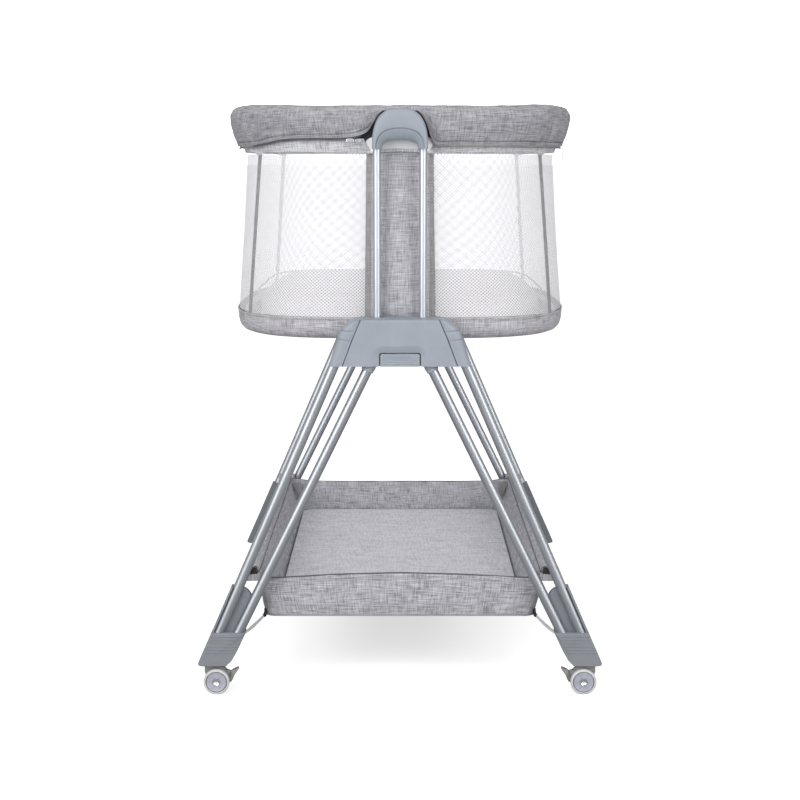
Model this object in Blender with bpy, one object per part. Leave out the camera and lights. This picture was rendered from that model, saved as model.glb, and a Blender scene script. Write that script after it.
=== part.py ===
"""Bassinet on a wheeled stand.

A mesh-walled basin hangs on two pairs of posts. The posts slide in the hubs of two A-shaped
leg frames, which stand on four braked twin-wheel casters and carry a fabric basket.
Metres, +Z up. X is the width and Y the length; the origin is on the floor under the centre.
"""

import math

import bmesh
import bpy
from mathutils import Vector

ENDS = (("front", -1), ("rear", 1))
SIDES = (("left", -1), ("right", 1))
GAP = 0.0003
TUBE_SIDES = 12
CLEARANCE = 0.0006

# Basin. Its plan is a superellipse, wider at the foot than at the top.
PLAN_POWER = 3.05
PLAN_POINTS = 32
WALL_TOP = (0.2645, 0.370, 0.857)
WALL_FOOT = (0.2795, 0.378, 0.599)
WALL_THICKNESS = 0.002
WALL_TUCK = 0.020
RIM_TOP_Z = 0.930
BAND_BOTTOM_Z = 0.564
MATTRESS_TOP_Z = 0.634
TOP_FRAME = (0.266, 0.3655, 0.903)
TOP_FRAME_RADIUS = 0.008
LOWER_FRAME_RADIUS = 0.0045
PANEL_HALF_WIDTH = 0.0534
PANEL_BULGE = 0.008

# Posts and the caps that join each pair.
POST_X = 0.0358
POST_Y = 0.402
POST_RADIUS = 0.006
POST_WALL = 0.0012
POST_FOOT_Z = 0.533
CAP_BASE_Z = 0.863
CAP_SOCKET_Z = 0.878
CAP_TOP_Z = 0.9245
CAP_HALF_WIDTH = 0.0432
CAP_BACK_Y = 0.381
CAP_FRONT_Y = 0.420
CAP_ARCH = (0.0278, 0.8775)
CAP_CREASE = (0.0372, 0.893)

# Hubs.
HUB_BACK_Y = 0.3905
HUB_FRONT_Y = 0.438
HUB_BOTTOM_Z = 0.529
HUB_TOP_Z = 0.603
HUB_HALF_OUTLINE = ((0.112, 0.529), (0.0985, 0.571), (0.0940, 0.582), (0.0855, 0.592),
                    (0.0740, 0.5995), (0.0605, 0.603))
HUB_SKIN_Y = 0.4327
COVER_HALF_OUTLINE = ((0.0892, 0.529), (0.0758, 0.565), (0.0602, 0.6027))
CAVITY_HALF_WIDTH = 0.027
CAVITY_TOP_Z = 0.585
BUTTON_HALF_WIDTH = 0.0306
BUTTON_TOP_Z = 0.5486
BUTTON_GAP = 0.0006
LOCK_Z = 0.562
LOCK_PIN_RADIUS = 0.0025
LOCK_PITCH = 0.040
LOCK_STEPS = 5

# Legs: each axis runs from its point at the hub to its point at the foot.
LEG_Y = 0.423
LEG_RADIUS = 0.008
LEG_WALL = 0.0012
LEG_HUB_Z = 0.5255
LEG_FOOT_Z = 0.1005
LEGS = (("outer", 0.1044, 0.2886, 0.565, 0.074), ("inner", 0.0491, 0.2577, 0.540, 0.085))

# Feet.
FOOT_BACK_Y = 0.404
FOOT_FRONT_Y = 0.435
FOOT_BLOCK = ((0.3008, 0.1008), (0.3230, 0.0505), (0.3215, 0.0475), (0.3160, 0.0463), (0.2780, 0.0463),
              (0.2690, 0.0550), (0.2590, 0.0730), (0.2463, 0.1000), (0.2475, 0.1008))
FOOT_PLATE = ((0.2680, 0.1760), (0.3005, 0.1010), (0.3060, 0.0800), (0.2700, 0.0800), (0.2530, 0.1050),
              (0.2330, 0.1480), (0.2372, 0.1590), (0.2405, 0.1655), (0.2480, 0.1715))
FOOT_PLATE_Y = (0.4085, 0.4142)
FOOT_FLANGE = ((0.2680, 0.1760), (0.3070, 0.0860), (0.3030, 0.0860), (0.2650, 0.1745))
FOOT_FLANGE_Y = (0.4100, 0.4300)

# Casters. Their outlines are measured inwards from the stem axis, then upwards.
STEM_X = 0.3035
STEM_Y = 0.420
STEM_RADIUS = 0.004
STEM_TOP_Z = 0.0635
WHEEL_TRAIL = 0.010
WHEEL_RADIUS = 0.0207
WHEEL_SIDES = 20
WHEEL_OUTER = 0.016
WHEEL_INNER = 0.0054
AXLE_RADIUS = 0.003
FORK_HALF_WIDTH = 0.0048
FORK_RADIUS = 0.0235
FORK_TOP_Z = 0.0459
BRAKE_PIVOT = (0.0272, 0.0330)
BRAKE_PIN_RADIUS = 0.0014
BRAKE_WEB = ((0.0248, 0.0355), (0.0280, 0.0366), (0.0332, 0.0362), (0.0386, 0.0305), (0.0355, 0.0220),
             (0.0322, 0.0165), (0.0300, 0.0172), (0.0302, 0.0255), (0.0262, 0.0297), (0.0240, 0.0325))
BRAKE_TAB = ((0.0334, 0.0364), (0.0438, 0.0410), (0.0454, 0.0396), (0.0386, 0.0300), (0.0350, 0.0270))

# Storage basket.
BASKET_RIM = (0.228, 0.403, 0.188)
BASKET_FOOT = (0.217, 0.392, 0.118)
BASKET_CORNER = 0.030
BASKET_WALL = 0.003
RAIL_X = 0.2340
RAIL_Z = 0.1885
RAIL_RADIUS = 0.005
RAIL_ARM_Y = (0.4070, 0.4144)


# ---- Materials ----

def material(name, color, roughness, metallic=0.0):
    """One plain Principled material."""
    made = bpy.data.materials.new(name)
    made.use_nodes = True
    shader = made.node_tree.nodes["Principled BSDF"]
    shader.inputs["Base Color"].default_value = (*color, 1.0)
    shader.inputs["Roughness"].default_value = roughness
    shader.inputs["Metallic"].default_value = metallic
    return made


FINISHES = {
    "leg_metal": ((0.42, 0.45, 0.48), 0.35, 1.0),
    "post_metal": ((0.72, 0.75, 0.78), 0.25, 1.0),
    "hub_plastic": ((0.30, 0.33, 0.36), 0.50, 0.0),
    "foot_plastic": ((0.21, 0.23, 0.25), 0.55, 0.0),
    "tyre": ((0.55, 0.55, 0.57), 0.60, 0.0),
    "bracket": ((0.70, 0.70, 0.71), 0.40, 0.0),
    "linen": ((0.34, 0.34, 0.36), 0.90, 0.0),
    "mesh": ((0.85, 0.86, 0.88), 0.80, 0.0),
    "mattress": ((0.80, 0.80, 0.81), 0.90, 0.0),
    "steel": ((0.50, 0.51, 0.53), 0.30, 1.0),
    "zip_metal": ((0.75, 0.76, 0.78), 0.25, 1.0),
}


# ---- Mesh helpers ----

def make(name, bm, finish, origin=(0.0, 0.0, 0.0)):
    """Turn a bmesh into an object with its own material and its origin at a given point."""
    bmesh.ops.recalc_face_normals(bm, faces=bm.faces)
    bmesh.ops.translate(bm, verts=bm.verts, vec=-Vector(origin))
    mesh = bpy.data.meshes.new(name)
    bm.to_mesh(mesh)
    bm.free()
    made = bpy.data.objects.new(name, mesh)
    made.location = origin
    mesh.materials.append(material(name, *FINISHES[finish]))
    bpy.context.scene.collection.objects.link(made)
    mesh.shade_smooth()
    mesh.set_sharp_from_angle(angle=math.radians(35))
    return made


def combine(target, tools, operation):
    """Join the tools to the target or cut them from it, and remove them."""
    bpy.context.view_layer.update()
    for tool in tools:
        modifier = target.modifiers.new(tool.name, "BOOLEAN")
        modifier.operation = operation
        modifier.solver = "EXACT"
        modifier.object = tool
    graph = bpy.context.evaluated_depsgraph_get()
    mesh = bpy.data.meshes.new_from_object(target.evaluated_get(graph))
    target.modifiers.clear()
    target.data = mesh
    while len(mesh.materials) > 1:
        mesh.materials.pop()
    for tool in tools:
        bpy.data.objects.remove(tool)
    return target


def skin(loops, ring=False):
    """Quads between matching loops. A ring joins the last to the first, otherwise both get a cap."""
    bm = bmesh.new()
    rows = [[bm.verts.new(point) for point in loop] for loop in loops]
    count = len(rows[0])
    pairs = list(zip(rows, rows[1:]))
    if ring:
        pairs.append((rows[-1], rows[0]))
    else:
        bm.faces.new(rows[0])
        bm.faces.new(rows[-1])
    for low, high in pairs:
        for i in range(count):
            j = (i + 1) % count
            bm.faces.new((low[i], low[j], high[j], high[i]))
    return bm


def circle(center, axis, radius, sides=TUBE_SIDES, phase=0.0):
    """Points of a regular polygon around an axis; one of them is its lowest unless phase turns it."""
    axis = Vector(axis).normalized()
    down = Vector((0.0, 0.0, -1.0))
    first = down - axis * down.dot(axis)
    first = Vector((1.0, 0.0, 0.0)) if first.length < 1e-6 else first.normalized()
    second = axis.cross(first)
    turns = [2 * math.pi * (i + phase) / sides for i in range(sides)]
    return [Vector(center) + (first * math.cos(t) + second * math.sin(t)) * radius for t in turns]


def rod(start, end, radius, sides=TUBE_SIDES):
    """A solid round bar between two points."""
    axis = Vector(end) - Vector(start)
    return skin([circle(start, axis, radius, sides), circle(end, axis, radius, sides)])


def tube(start, end, radius, wall, sides=TUBE_SIDES):
    """A tube with open ends between two points."""
    axis = Vector(end) - Vector(start)
    places = ((start, radius), (end, radius), (end, radius - wall), (start, radius - wall))
    return skin([circle(point, axis, size, sides) for point, size in places], ring=True)


def turned(profile, center, axis, sides, phase=0.0):
    """A body of revolution: the profile holds distances along the axis and radii."""
    axis = Vector(axis).normalized()
    start = Vector(center)
    return skin([circle(start + axis * step, axis, radius, sides, phase) for step, radius in profile])


def slab(outline, y_low, y_high, side=1, inset=0.0, taper=0.0):
    """An outline in X and Z, given for one side, extruded from y_low to y_high."""
    loops = [[Vector((side * x, y_low, z)) for x, z in outline]]
    if taper:
        middle = Vector((sum(x for x, z in outline), sum(z for x, z in outline))) / len(outline)
        y_edge = y_high - math.copysign(taper, y_high - y_low)
        loops.append([Vector((side * x, y_edge, z)) for x, z in outline])
        shrunk = [Vector((x, z)) + (middle - Vector((x, z))).normalized() * inset for x, z in outline]
        loops.append([Vector((side * x, y_high, z)) for x, z in shrunk])
    else:
        loops.append([Vector((side * x, y_high, z)) for x, z in outline])
    return skin(loops)


def both_halves(half):
    """A full outline from the points of its right half, listed from the bottom up."""
    return list(half) + [(-x, z) for x, z in reversed(half)]


def box(low, high):
    """A box between two corners."""
    corners = [(low[0], low[1]), (high[0], low[1]), (high[0], high[1]), (low[0], high[1])]
    return skin([[Vector((x, y, z)) for x, y in corners] for z in (low[2], high[2])])


def plan_loop(half_x, half_y, z, count=PLAN_POINTS):
    """A superellipse at one height."""
    loop = []
    for i in range(count):
        turn = 2 * math.pi * i / count
        c = math.cos(turn)
        s = math.sin(turn)
        x = math.copysign(abs(c) ** (2 / PLAN_POWER), c) * half_x
        y = math.copysign(abs(s) ** (2 / PLAN_POWER), s) * half_y
        loop.append(Vector((x, y, z)))
    return loop


def wall_at(z, offset=0.0):
    """Half width, half length and height of the basin's outer wall at one height."""
    share = (z - WALL_FOOT[2]) / (WALL_TOP[2] - WALL_FOOT[2])
    half_x = WALL_FOOT[0] + (WALL_TOP[0] - WALL_FOOT[0]) * share + offset
    half_y = WALL_FOOT[1] + (WALL_TOP[1] - WALL_FOOT[1]) * share + offset
    return half_x, half_y, z


def swept_plan(half_x, half_y, z, radius, sides=6):
    """A round bar bent to the basin's plan."""
    loops = []
    for i in range(sides):
        turn = 2 * math.pi * i / sides
        grow = radius * math.cos(turn)
        loops.append(plan_loop(half_x + grow, half_y + grow, z + radius * math.sin(turn)))
    return skin(loops, ring=True)


# ---- Basin ----

def basin_soft_parts():
    """Mesh wall, fabric tray under it, mattress and the bent lower rod."""
    top_z = WALL_TOP[2] + WALL_TUCK
    low_z = WALL_FOOT[2] + GAP
    loops = [plan_loop(*wall_at(low_z)), plan_loop(*wall_at(top_z))]
    loops += [plan_loop(*wall_at(top_z, -WALL_THICKNESS)), plan_loop(*wall_at(low_z, -WALL_THICKNESS))]
    make("mesh_wall", skin(loops, ring=True), "mesh")

    half_x, half_y, foot_z = WALL_FOOT
    floor = 0.003
    profile = ((-0.026, BAND_BOTTOM_Z), (-0.012, BAND_BOTTOM_Z + 0.003), (-0.002, BAND_BOTTOM_Z + 0.011),
               (0.001, foot_z), (-0.002, foot_z), (-0.006, BAND_BOTTOM_Z + 0.013),
               (-0.014, BAND_BOTTOM_Z + 0.006), (-0.027, BAND_BOTTOM_Z + floor))
    loops = [plan_loop(half_x + grow, half_y + grow, z) for grow, z in profile]
    make("lower_band", skin(loops), "linen")

    make("lower_frame", swept_plan(half_x - 0.0095, half_y - 0.0095, 0.5905, LOWER_FRAME_RADIUS), "steel")

    board_z = BAND_BOTTOM_Z + floor + GAP
    board_top = board_z + 0.006
    loops = [plan_loop(0.2510, 0.3495, board_z), plan_loop(0.2510, 0.3495, board_top)]
    make("base_board", skin(loops), "linen")

    edge = 0.008
    half_x, half_y = 0.2650, 0.3640
    profile = ((-0.012, board_top + GAP), (-0.010, board_top + edge), (0.0, MATTRESS_TOP_Z - 0.030),
               (0.0, MATTRESS_TOP_Z - edge), (-edge, MATTRESS_TOP_Z))
    loops = [plan_loop(half_x + grow, half_y + grow, z) for grow, z in profile]
    make("mattress", skin(loops), "mattress")


def cap_outline(half_width, top_z, power, steps=14):
    """Half of an arch standing on the caps' base plane, from its foot to its crown and down again."""
    points = []
    rise = top_z - CAP_BASE_Z
    for i in range(steps + 1):
        turn = math.pi * i / steps
        x = math.copysign(abs(math.cos(turn)) ** (2 / power), math.cos(turn)) * half_width
        points.append((x, CAP_BASE_Z + rise * math.sin(turn) ** (2 / power)))
    return points


def rim_cover():
    """Padded fabric cover over the top frame, open below, cut back around the caps and brackets."""
    half_x, half_y, base_z = WALL_TOP
    profile = ((0.0145, 0.8690), (0.0215, 0.8860), (0.0262, 0.9040), (0.0262, 0.9150), (0.0215, 0.9250),
               (0.0120, RIM_TOP_Z), (-0.0070, 0.9295), (-0.0160, 0.9240), (-0.0190, 0.9130),
               (-0.0175, 0.8850), (-0.0145, 0.8850), (-0.0155, 0.9100), (-0.0100, 0.9190),
               (0.0110, 0.9190), (0.0160, 0.9120), (0.0155, 0.8960), (0.0110, 0.8690))
    loops = [plan_loop(half_x + grow, half_y + grow, z) for grow, z in profile]
    cover = make("rim_cover", skin(loops, ring=True), "linen")
    notch = 0.0012
    outline = cap_outline(CAP_HALF_WIDTH + notch, CAP_TOP_Z + notch, 2.7)
    outline = [(x, z) for x, z in outline] + [(-CAP_HALF_WIDTH - notch, 0.85), (CAP_HALF_WIDTH + notch, 0.85)]
    cutters = []
    for _, end in ENDS:
        cutters.append(make("cut", slab(outline, end * (CAP_BACK_Y - 0.0007), end * 0.430), "linen"))
        low_y, high_y = sorted((end * 0.3721, end * 0.3840))
        cutters.append(make("cut", box((-0.0535, low_y, 0.850), (0.0535, high_y, 0.9125)), "linen"))
    combine(cover, cutters, "DIFFERENCE")


def end_panel(name, end):
    """Padded upright panel at one end of the basin, between the mesh windows."""
    loops = []
    count = 8
    for z in (WALL_FOOT[2] + 0.002, WALL_TOP[2] - 0.001):
        _, half_y, _ = wall_at(z, GAP * 2)
        steps = [PANEL_HALF_WIDTH * math.cos(math.pi * i / count) for i in range(count + 1)]
        inner = [Vector((x, end * (half_y + 0.0002), z)) for x in (-PANEL_HALF_WIDTH, PANEL_HALF_WIDTH)]
        bulge = [PANEL_BULGE * (0.35 + 0.65 * math.sin(math.pi * i / count)) for i in range(count + 1)]
        outer = [Vector((x, end * (half_y + b), z)) for x, b in zip(steps, bulge)]
        loops.append(inner + outer)
    make(name, skin(loops), "linen")


def cap(name, end):
    """Arched cap that holds both posts of one end; its opening is bevelled back from a crease."""
    opening = cap_outline(*CAP_ARCH, 2.6)
    crease = cap_outline(*CAP_CREASE, 2.5)
    inset = cap_outline(CAP_HALF_WIDTH - 0.0022, CAP_TOP_Z - 0.0022, 2.7)
    outer = cap_outline(CAP_HALF_WIDTH, CAP_TOP_Z, 2.7)
    section = ((opening, CAP_BACK_Y), (opening, CAP_FRONT_Y - 0.010), (crease, CAP_FRONT_Y - 0.001),
               (inset, CAP_FRONT_Y), (outer, CAP_FRONT_Y - 0.0025), (outer, CAP_BACK_Y))
    loops = [[Vector((line[i][0], end * y, line[i][1])) for line, y in section] for i in range(len(outer))]
    body = make(name, skin(loops), "hub_plastic")
    sockets = []
    for _, side in SIDES:
        foot = (side * POST_X, end * POST_Y, CAP_BASE_Z - 0.005)
        head = (side * POST_X, end * POST_Y, CAP_SOCKET_Z)
        sockets.append(make("cut", rod(foot, head, POST_RADIUS + CLEARANCE), "hub_plastic"))
    combine(body, sockets, "DIFFERENCE")


def frame_bracket(name, end):
    """Moulded bracket that carries the top frame behind one cap."""
    outline = both_halves(((0.0500, 0.8590), (0.0500, 0.8770), (0.0280, 0.8860), (0.0280, 0.9090)))
    back_y = TOP_FRAME[1] + TOP_FRAME_RADIUS + GAP * 2
    make(name, slab(outline, end * back_y, end * (CAP_BACK_Y - GAP)), "bracket")


def post(name, side, end):
    """Tube that slides in the hub, with a row of lock holes on the face towards its twin."""
    start = (side * POST_X, end * POST_Y, POST_FOOT_Z)
    stop = (side * POST_X, end * POST_Y, CAP_SOCKET_Z - GAP * 2)
    body = make(name, tube(start, stop, POST_RADIUS, POST_WALL), "post_metal")
    holes = []
    for step in range(LOCK_STEPS):
        z = LOCK_Z + step * LOCK_PITCH
        inner = (side * (POST_X - POST_RADIUS - 0.002), end * POST_Y, z)
        middle = (side * (POST_X - POST_RADIUS + 0.004), end * POST_Y, z)
        holes.append(make("cut", rod(inner, middle, LOCK_PIN_RADIUS + CLEARANCE, 6), "post_metal"))
    combine(body, holes, "DIFFERENCE")


def zip_parts():
    """Slider and hinged pull on the front run of the zip, and the pull that hangs on the right side."""
    front_y = -0.3935
    z = 0.8755
    outline = ((-0.0005, -0.0030), (-0.0005, 0.0030), (-0.0090, 0.0038), (-0.0130, 0.0038),
               (-0.0130, -0.0038), (-0.0090, -0.0038))
    pin_x = -0.0690
    shifted = [(pin_x + x - 0.0016, z + dz) for x, dz in outline]
    make("front_zip_slider", slab(shifted, front_y, front_y + 0.0040), "zip_metal")
    outline = ((0.0, -0.0022), (0.0, 0.0022), (0.0040, 0.0030), (0.0125, 0.0030),
               (0.0138, 0.0), (0.0125, -0.0030), (0.0040, -0.0030))
    shifted = [(pin_x + x, z + dz) for x, dz in outline]
    pivot = (pin_x, front_y + 0.0010, z)
    make("front_zip_pull", slab(shifted, front_y, front_y + 0.0018), "zip_metal", pivot)

    pivot = Vector((0.2722, -0.1800, 0.8675))
    outline = ((-0.0020, 0.0), (0.0020, 0.0), (0.0030, -0.0040), (0.0030, -0.0170),
               (0.0, -0.0190), (-0.0030, -0.0170), (-0.0030, -0.0040))
    half = 0.0008
    loops = [[pivot + Vector((x, y, z)) for y, z in outline] for x in (-half, half)]
    make("side_zip_pull", skin(loops), "zip_metal", pivot)


# ---- Stand ----

def leg_line(top_x, foot_x, side, end):
    """A function from a height to the point of one leg's axis there."""
    def at(z):
        share = (LEG_HUB_Z - z) / (LEG_HUB_Z - LEG_FOOT_Z)
        return Vector((side * (top_x + (foot_x - top_x) * share), end * LEG_Y, z))
    return at


def leg_sockets(low_end, extra):
    """Cutters for the legs at a hub or a foot, reaching from each leg's end out through the opening."""
    tools = []
    for _, top_x, foot_x, top_z, foot_z in LEGS:
        at = leg_line(top_x, foot_x, low_end[0], low_end[1])
        if low_end[2]:
            ends = (at(foot_z) - (at(top_z) - at(foot_z)).normalized() * 0.0006, at(foot_z + extra))
        else:
            ends = (at(top_z) + (at(top_z) - at(foot_z)).normalized() * 0.0006, at(top_z - extra))
        tools.append(make("cut", rod(*ends, LEG_RADIUS + CLEARANCE), "foot_plastic"))
    return tools


def hub(name, end):
    """Moulded hub: sockets for four legs, bores for two posts, a cavity for the lock."""
    outline = both_halves(HUB_HALF_OUTLINE)
    solid = slab(outline, end * HUB_BACK_Y, end * HUB_FRONT_Y, inset=0.003, taper=0.004)
    body = make(name, solid, "hub_plastic")
    collars = []
    for _, side in SIDES:
        at = leg_line(LEGS[1][1], LEGS[1][2], side, end)
        collars.append(make("join", rod(at(0.536), at(0.5205), LEG_RADIUS + 0.0020), "hub_plastic"))
    combine(body, collars, "UNION")

    wide = [(x + GAP, z) for x, z in COVER_HALF_OUTLINE]
    wide = [(wide[0][0] + 0.004, HUB_BOTTOM_Z - 0.010)] + wide[1:] + [(0.0560, HUB_TOP_Z + 0.010)]
    recess = slab(both_halves(wide), end * HUB_SKIN_Y, end * (HUB_FRONT_Y + 0.01))
    cutters = [make("cut", recess, "hub_plastic")]
    low_y, high_y = sorted((end * 0.397, end * (HUB_SKIN_Y + 0.004)))
    cavity = box((-CAVITY_HALF_WIDTH, low_y, HUB_BOTTOM_Z - 0.012), (CAVITY_HALF_WIDTH, high_y, CAVITY_TOP_Z))
    cutters.append(make("cut", cavity, "hub_plastic"))
    low_y, high_y = sorted((end * 0.4272, end * (HUB_SKIN_Y + 0.004)))
    wide_x = BUTTON_HALF_WIDTH + BUTTON_GAP
    pocket = box((-wide_x, low_y, HUB_BOTTOM_Z - 0.012), (wide_x, high_y, BUTTON_TOP_Z + BUTTON_GAP))
    cutters.append(make("cut", pocket, "hub_plastic"))
    for _, side in SIDES:
        cutters += leg_sockets((side, end, False), 0.070)
        foot = (side * POST_X, end * POST_Y, HUB_BOTTOM_Z - 0.010)
        head = (side * POST_X, end * POST_Y, HUB_TOP_Z + 0.010)
        cutters.append(make("cut", rod(foot, head, POST_RADIUS + CLEARANCE), "hub_plastic"))
    pin_line = [(x, end * POST_Y, LOCK_Z) for x in (-POST_X, POST_X)]
    cutters.append(make("cut", rod(*pin_line, LOCK_PIN_RADIUS + CLEARANCE, 6), "hub_plastic"))
    combine(body, cutters, "DIFFERENCE")


def hub_cover(name, end):
    """Face plate of a hub, notched for the release button."""
    notch_x = BUTTON_HALF_WIDTH + BUTTON_GAP
    notch_z = BUTTON_TOP_Z + BUTTON_GAP
    half = [(notch_x - 0.003, notch_z), (notch_x, notch_z - 0.003), (notch_x, HUB_BOTTOM_Z)]
    half += list(COVER_HALF_OUTLINE)
    back = [Vector((x, end * (HUB_SKIN_Y + GAP), z)) for x, z in both_halves(half)]
    edge = HUB_FRONT_Y - 0.003
    middle = [Vector((p.x, end * edge, p.z)) for p in back]
    front = [Vector((p.x, end * HUB_FRONT_Y, min(p.z, HUB_TOP_Z - 0.0028))) for p in back]
    make(name, skin([back, middle, front]), "hub_plastic")


def release_button(name, end):
    """Press-in button with a block that reaches back to the lock pins."""
    corner = 0.0025
    half = ((BUTTON_HALF_WIDTH, HUB_BOTTOM_Z), (BUTTON_HALF_WIDTH, BUTTON_TOP_Z - corner),
            (BUTTON_HALF_WIDTH - corner, BUTTON_TOP_Z))
    face = slab(both_halves(half), end * 0.4320, end * (HUB_FRONT_Y - 0.0006))
    body = make(name, face, "hub_plastic", (0.0, end * 0.4320, 0.539))
    low_y, high_y = sorted((end * 0.4120, end * 0.4340))
    block = make("join", box((-0.020, low_y, 0.5320), (0.020, high_y, 0.5460)), "hub_plastic")
    combine(body, [block], "UNION")


def lock_pin(name, side, end):
    """Sliding pin with a spring head; its tip stands just clear of the post."""
    tip = POST_X - POST_RADIUS - 0.0004
    profile = ((0.0, LOCK_PIN_RADIUS), (-0.0130, LOCK_PIN_RADIUS), (-0.0130, 0.0045), (-0.0150, 0.0045))
    bm = turned(profile, (side * tip, end * POST_Y, LOCK_Z), (side, 0, 0), 12)
    make(name, bm, "steel", (side * tip, end * POST_Y, LOCK_Z))


def lock_spring(name, end):
    """Square-wire compression spring between the two lock pins."""
    turns, steps, radius, wire = 4, 8, 0.0036, 0.0005
    half_length = 0.0138
    loops = []
    for i in range(turns * steps + 1):
        turn = 2 * math.pi * i / steps
        out = Vector((0.0, math.cos(turn), math.sin(turn)))
        x = -half_length + wire + 2 * (half_length - wire) * i / (turns * steps)
        center = Vector((x, end * POST_Y, LOCK_Z)) + out * radius
        corners = ((-wire, -wire), (wire, -wire), (wire, wire), (-wire, wire))
        loops.append([center + Vector((a, 0.0, 0.0)) + out * b for a, b in corners])
    make(name, skin(loops), "steel")


def foot(name, side, end):
    """Moulded foot: a block around both tube ends, with a plate and a flange that rise behind them."""
    block = slab(FOOT_BLOCK, end * FOOT_BACK_Y, end * FOOT_FRONT_Y, side, 0.0015, 0.002)
    body = make(name, block, "foot_plastic")
    low, high = FOOT_PLATE_Y
    plate = make("join", slab(FOOT_PLATE, end * low, end * high, side), "foot_plastic")
    low, high = FOOT_FLANGE_Y
    flange = make("join", slab(FOOT_FLANGE, end * low, end * high, side), "foot_plastic")
    combine(body, [plate, flange], "UNION")
    cutters = leg_sockets((side, end, True), 0.120)
    stem = (side * STEM_X, end * STEM_Y)
    bore = rod((*stem, 0.040), (*stem, STEM_TOP_Z + 0.0006), STEM_RADIUS + CLEARANCE, 8)
    cutters.append(make("cut", bore, "foot_plastic"))
    combine(body, cutters, "DIFFERENCE")


def side_rail(name, side):
    """Rod along one side hem of the basket, with an arm at each end that lies behind the outer leg."""
    ends = [(side * RAIL_X, end * 0.4100, RAIL_Z) for _, end in ENDS]
    body = make(name, rod(*ends, RAIL_RADIUS, 12), "leg_metal")
    outline = ((RAIL_X - 0.004, 0.1830), (0.2545, 0.1830), (0.2500, 0.1940), (RAIL_X - 0.004, 0.1940))
    arms = []
    for _, end in ENDS:
        low, high = RAIL_ARM_Y
        arms.append(make("join", slab(outline, end * low, end * high, side), "leg_metal"))
    combine(body, arms, "UNION")


# ---- Casters ----

def caster_point(side, end, inwards, z, across=0.0):
    """A point given inwards from a stem's axis, upwards, and across the wheels."""
    return Vector((side * (STEM_X - inwards), end * STEM_Y + across, z))


def caster_slab(outline, side, end, half_width, middle=0.0):
    """An outline in a caster's own plane, as a plate between its wheels."""
    loops = []
    for across in (middle - half_width, middle + half_width):
        loops.append([caster_point(side, end, u, z, across) for u, z in outline])
    return skin(loops)


def caster_fork(name, side, end):
    """Swivelling body between the wheels, with its stem and two ears for the brake pin."""
    arc = []
    for i in range(5):
        turn = math.radians(52 + 12 * i)
        arc.append((WHEEL_TRAIL + FORK_RADIUS * math.cos(turn), WHEEL_RADIUS + FORK_RADIUS * math.sin(turn)))
    outline = [(0.0195, 0.0150), (0.0205, 0.0330)] + arc
    outline += [(-0.0095, 0.0450), (-0.0100, 0.0340), (-0.0020, 0.0180), (0.0080, 0.0120)]
    origin = caster_point(side, end, 0.0, FORK_TOP_Z)
    body = make(name, caster_slab(outline, side, end, FORK_HALF_WIDTH), "foot_plastic", origin)
    pieces = []
    ear = [(0.0180, 0.0385), (0.0180, 0.0280), (0.0255, 0.0295)]
    for turn in map(math.radians, (-60, -20, 20, 60, 100)):
        ear.append((BRAKE_PIVOT[0] + 0.0038 * math.cos(turn), BRAKE_PIVOT[1] + 0.0038 * math.sin(turn)))
    ear_width = 0.0009
    for across in (-1, 1):
        middle = across * (FORK_HALF_WIDTH - ear_width)
        pieces.append(make("join", caster_slab(ear, side, end, ear_width, middle), "foot_plastic"))
    swivel = turned(((0.0, 0.0090), (0.0035, 0.0095)), caster_point(side, end, 0.0, 0.0424), (0, 0, 1), 12)
    pieces.append(make("join", swivel, "foot_plastic"))
    ends = [caster_point(side, end, 0.0, z) for z in (0.0435, STEM_TOP_Z)]
    pieces.append(make("join", rod(*ends, STEM_RADIUS, 8), "foot_plastic"))
    combine(body, pieces, "UNION")
    axle = [caster_point(side, end, WHEEL_TRAIL, WHEEL_RADIUS, across) for across in (-0.02, 0.02)]
    cutters = [make("cut", rod(*axle, AXLE_RADIUS + 0.0004, 12), "foot_plastic")]
    pin = [caster_point(side, end, *BRAKE_PIVOT, across) for across in (-0.02, 0.02)]
    cutters.append(make("cut", rod(*pin, BRAKE_PIN_RADIUS + 0.0003, 8), "foot_plastic"))
    combine(body, cutters, "DIFFERENCE")


def caster_wheel(name, side, end):
    """Twin wheels on one axle, with a flat of the tread on the floor."""
    tread = WHEEL_RADIUS / math.cos(math.pi / WHEEL_SIDES)
    half = ((WHEEL_OUTER, tread - 0.0022), (WHEEL_OUTER - 0.0018, tread), (WHEEL_INNER + 0.0018, tread),
            (WHEEL_INNER, tread - 0.0018), (WHEEL_INNER, AXLE_RADIUS))
    profile = [(-step, radius) for step, radius in half] + list(reversed(half))
    center = caster_point(side, end, WHEEL_TRAIL, WHEEL_RADIUS)
    make(name, turned(profile, center, (0, 1, 0), WHEEL_SIDES, 0.5), "tyre", center)


def caster_brake(name, side, end):
    """Brake lever: a web between the fork's ears with its pin, and a wide tab for the toe."""
    pivot = caster_point(side, end, *BRAKE_PIVOT)
    body = make(name, caster_slab(BRAKE_WEB, side, end, 0.0026), "foot_plastic", pivot)
    ends = [caster_point(side, end, *BRAKE_PIVOT, across) for across in (-0.0047, 0.0047)]
    pin = make("join", rod(*ends, BRAKE_PIN_RADIUS, 8), "foot_plastic")
    tab = make("join", caster_slab(BRAKE_TAB, side, end, 0.0065), "foot_plastic")
    combine(body, [pin, tab], "UNION")


# ---- Basket ----

def rounded_rectangle(half_x, half_y, z, corner, steps=4):
    """A rectangle with round corners at one height."""
    loop = []
    for quarter, (sx, sy) in enumerate(((1, 1), (-1, 1), (-1, -1), (1, -1))):
        for i in range(steps + 1):
            turn = math.pi / 2 * (quarter + i / steps)
            x = sx * (half_x - corner) + corner * math.cos(turn)
            y = sy * (half_y - corner) + corner * math.sin(turn)
            loop.append(Vector((x, y, z)))
    return loop


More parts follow.
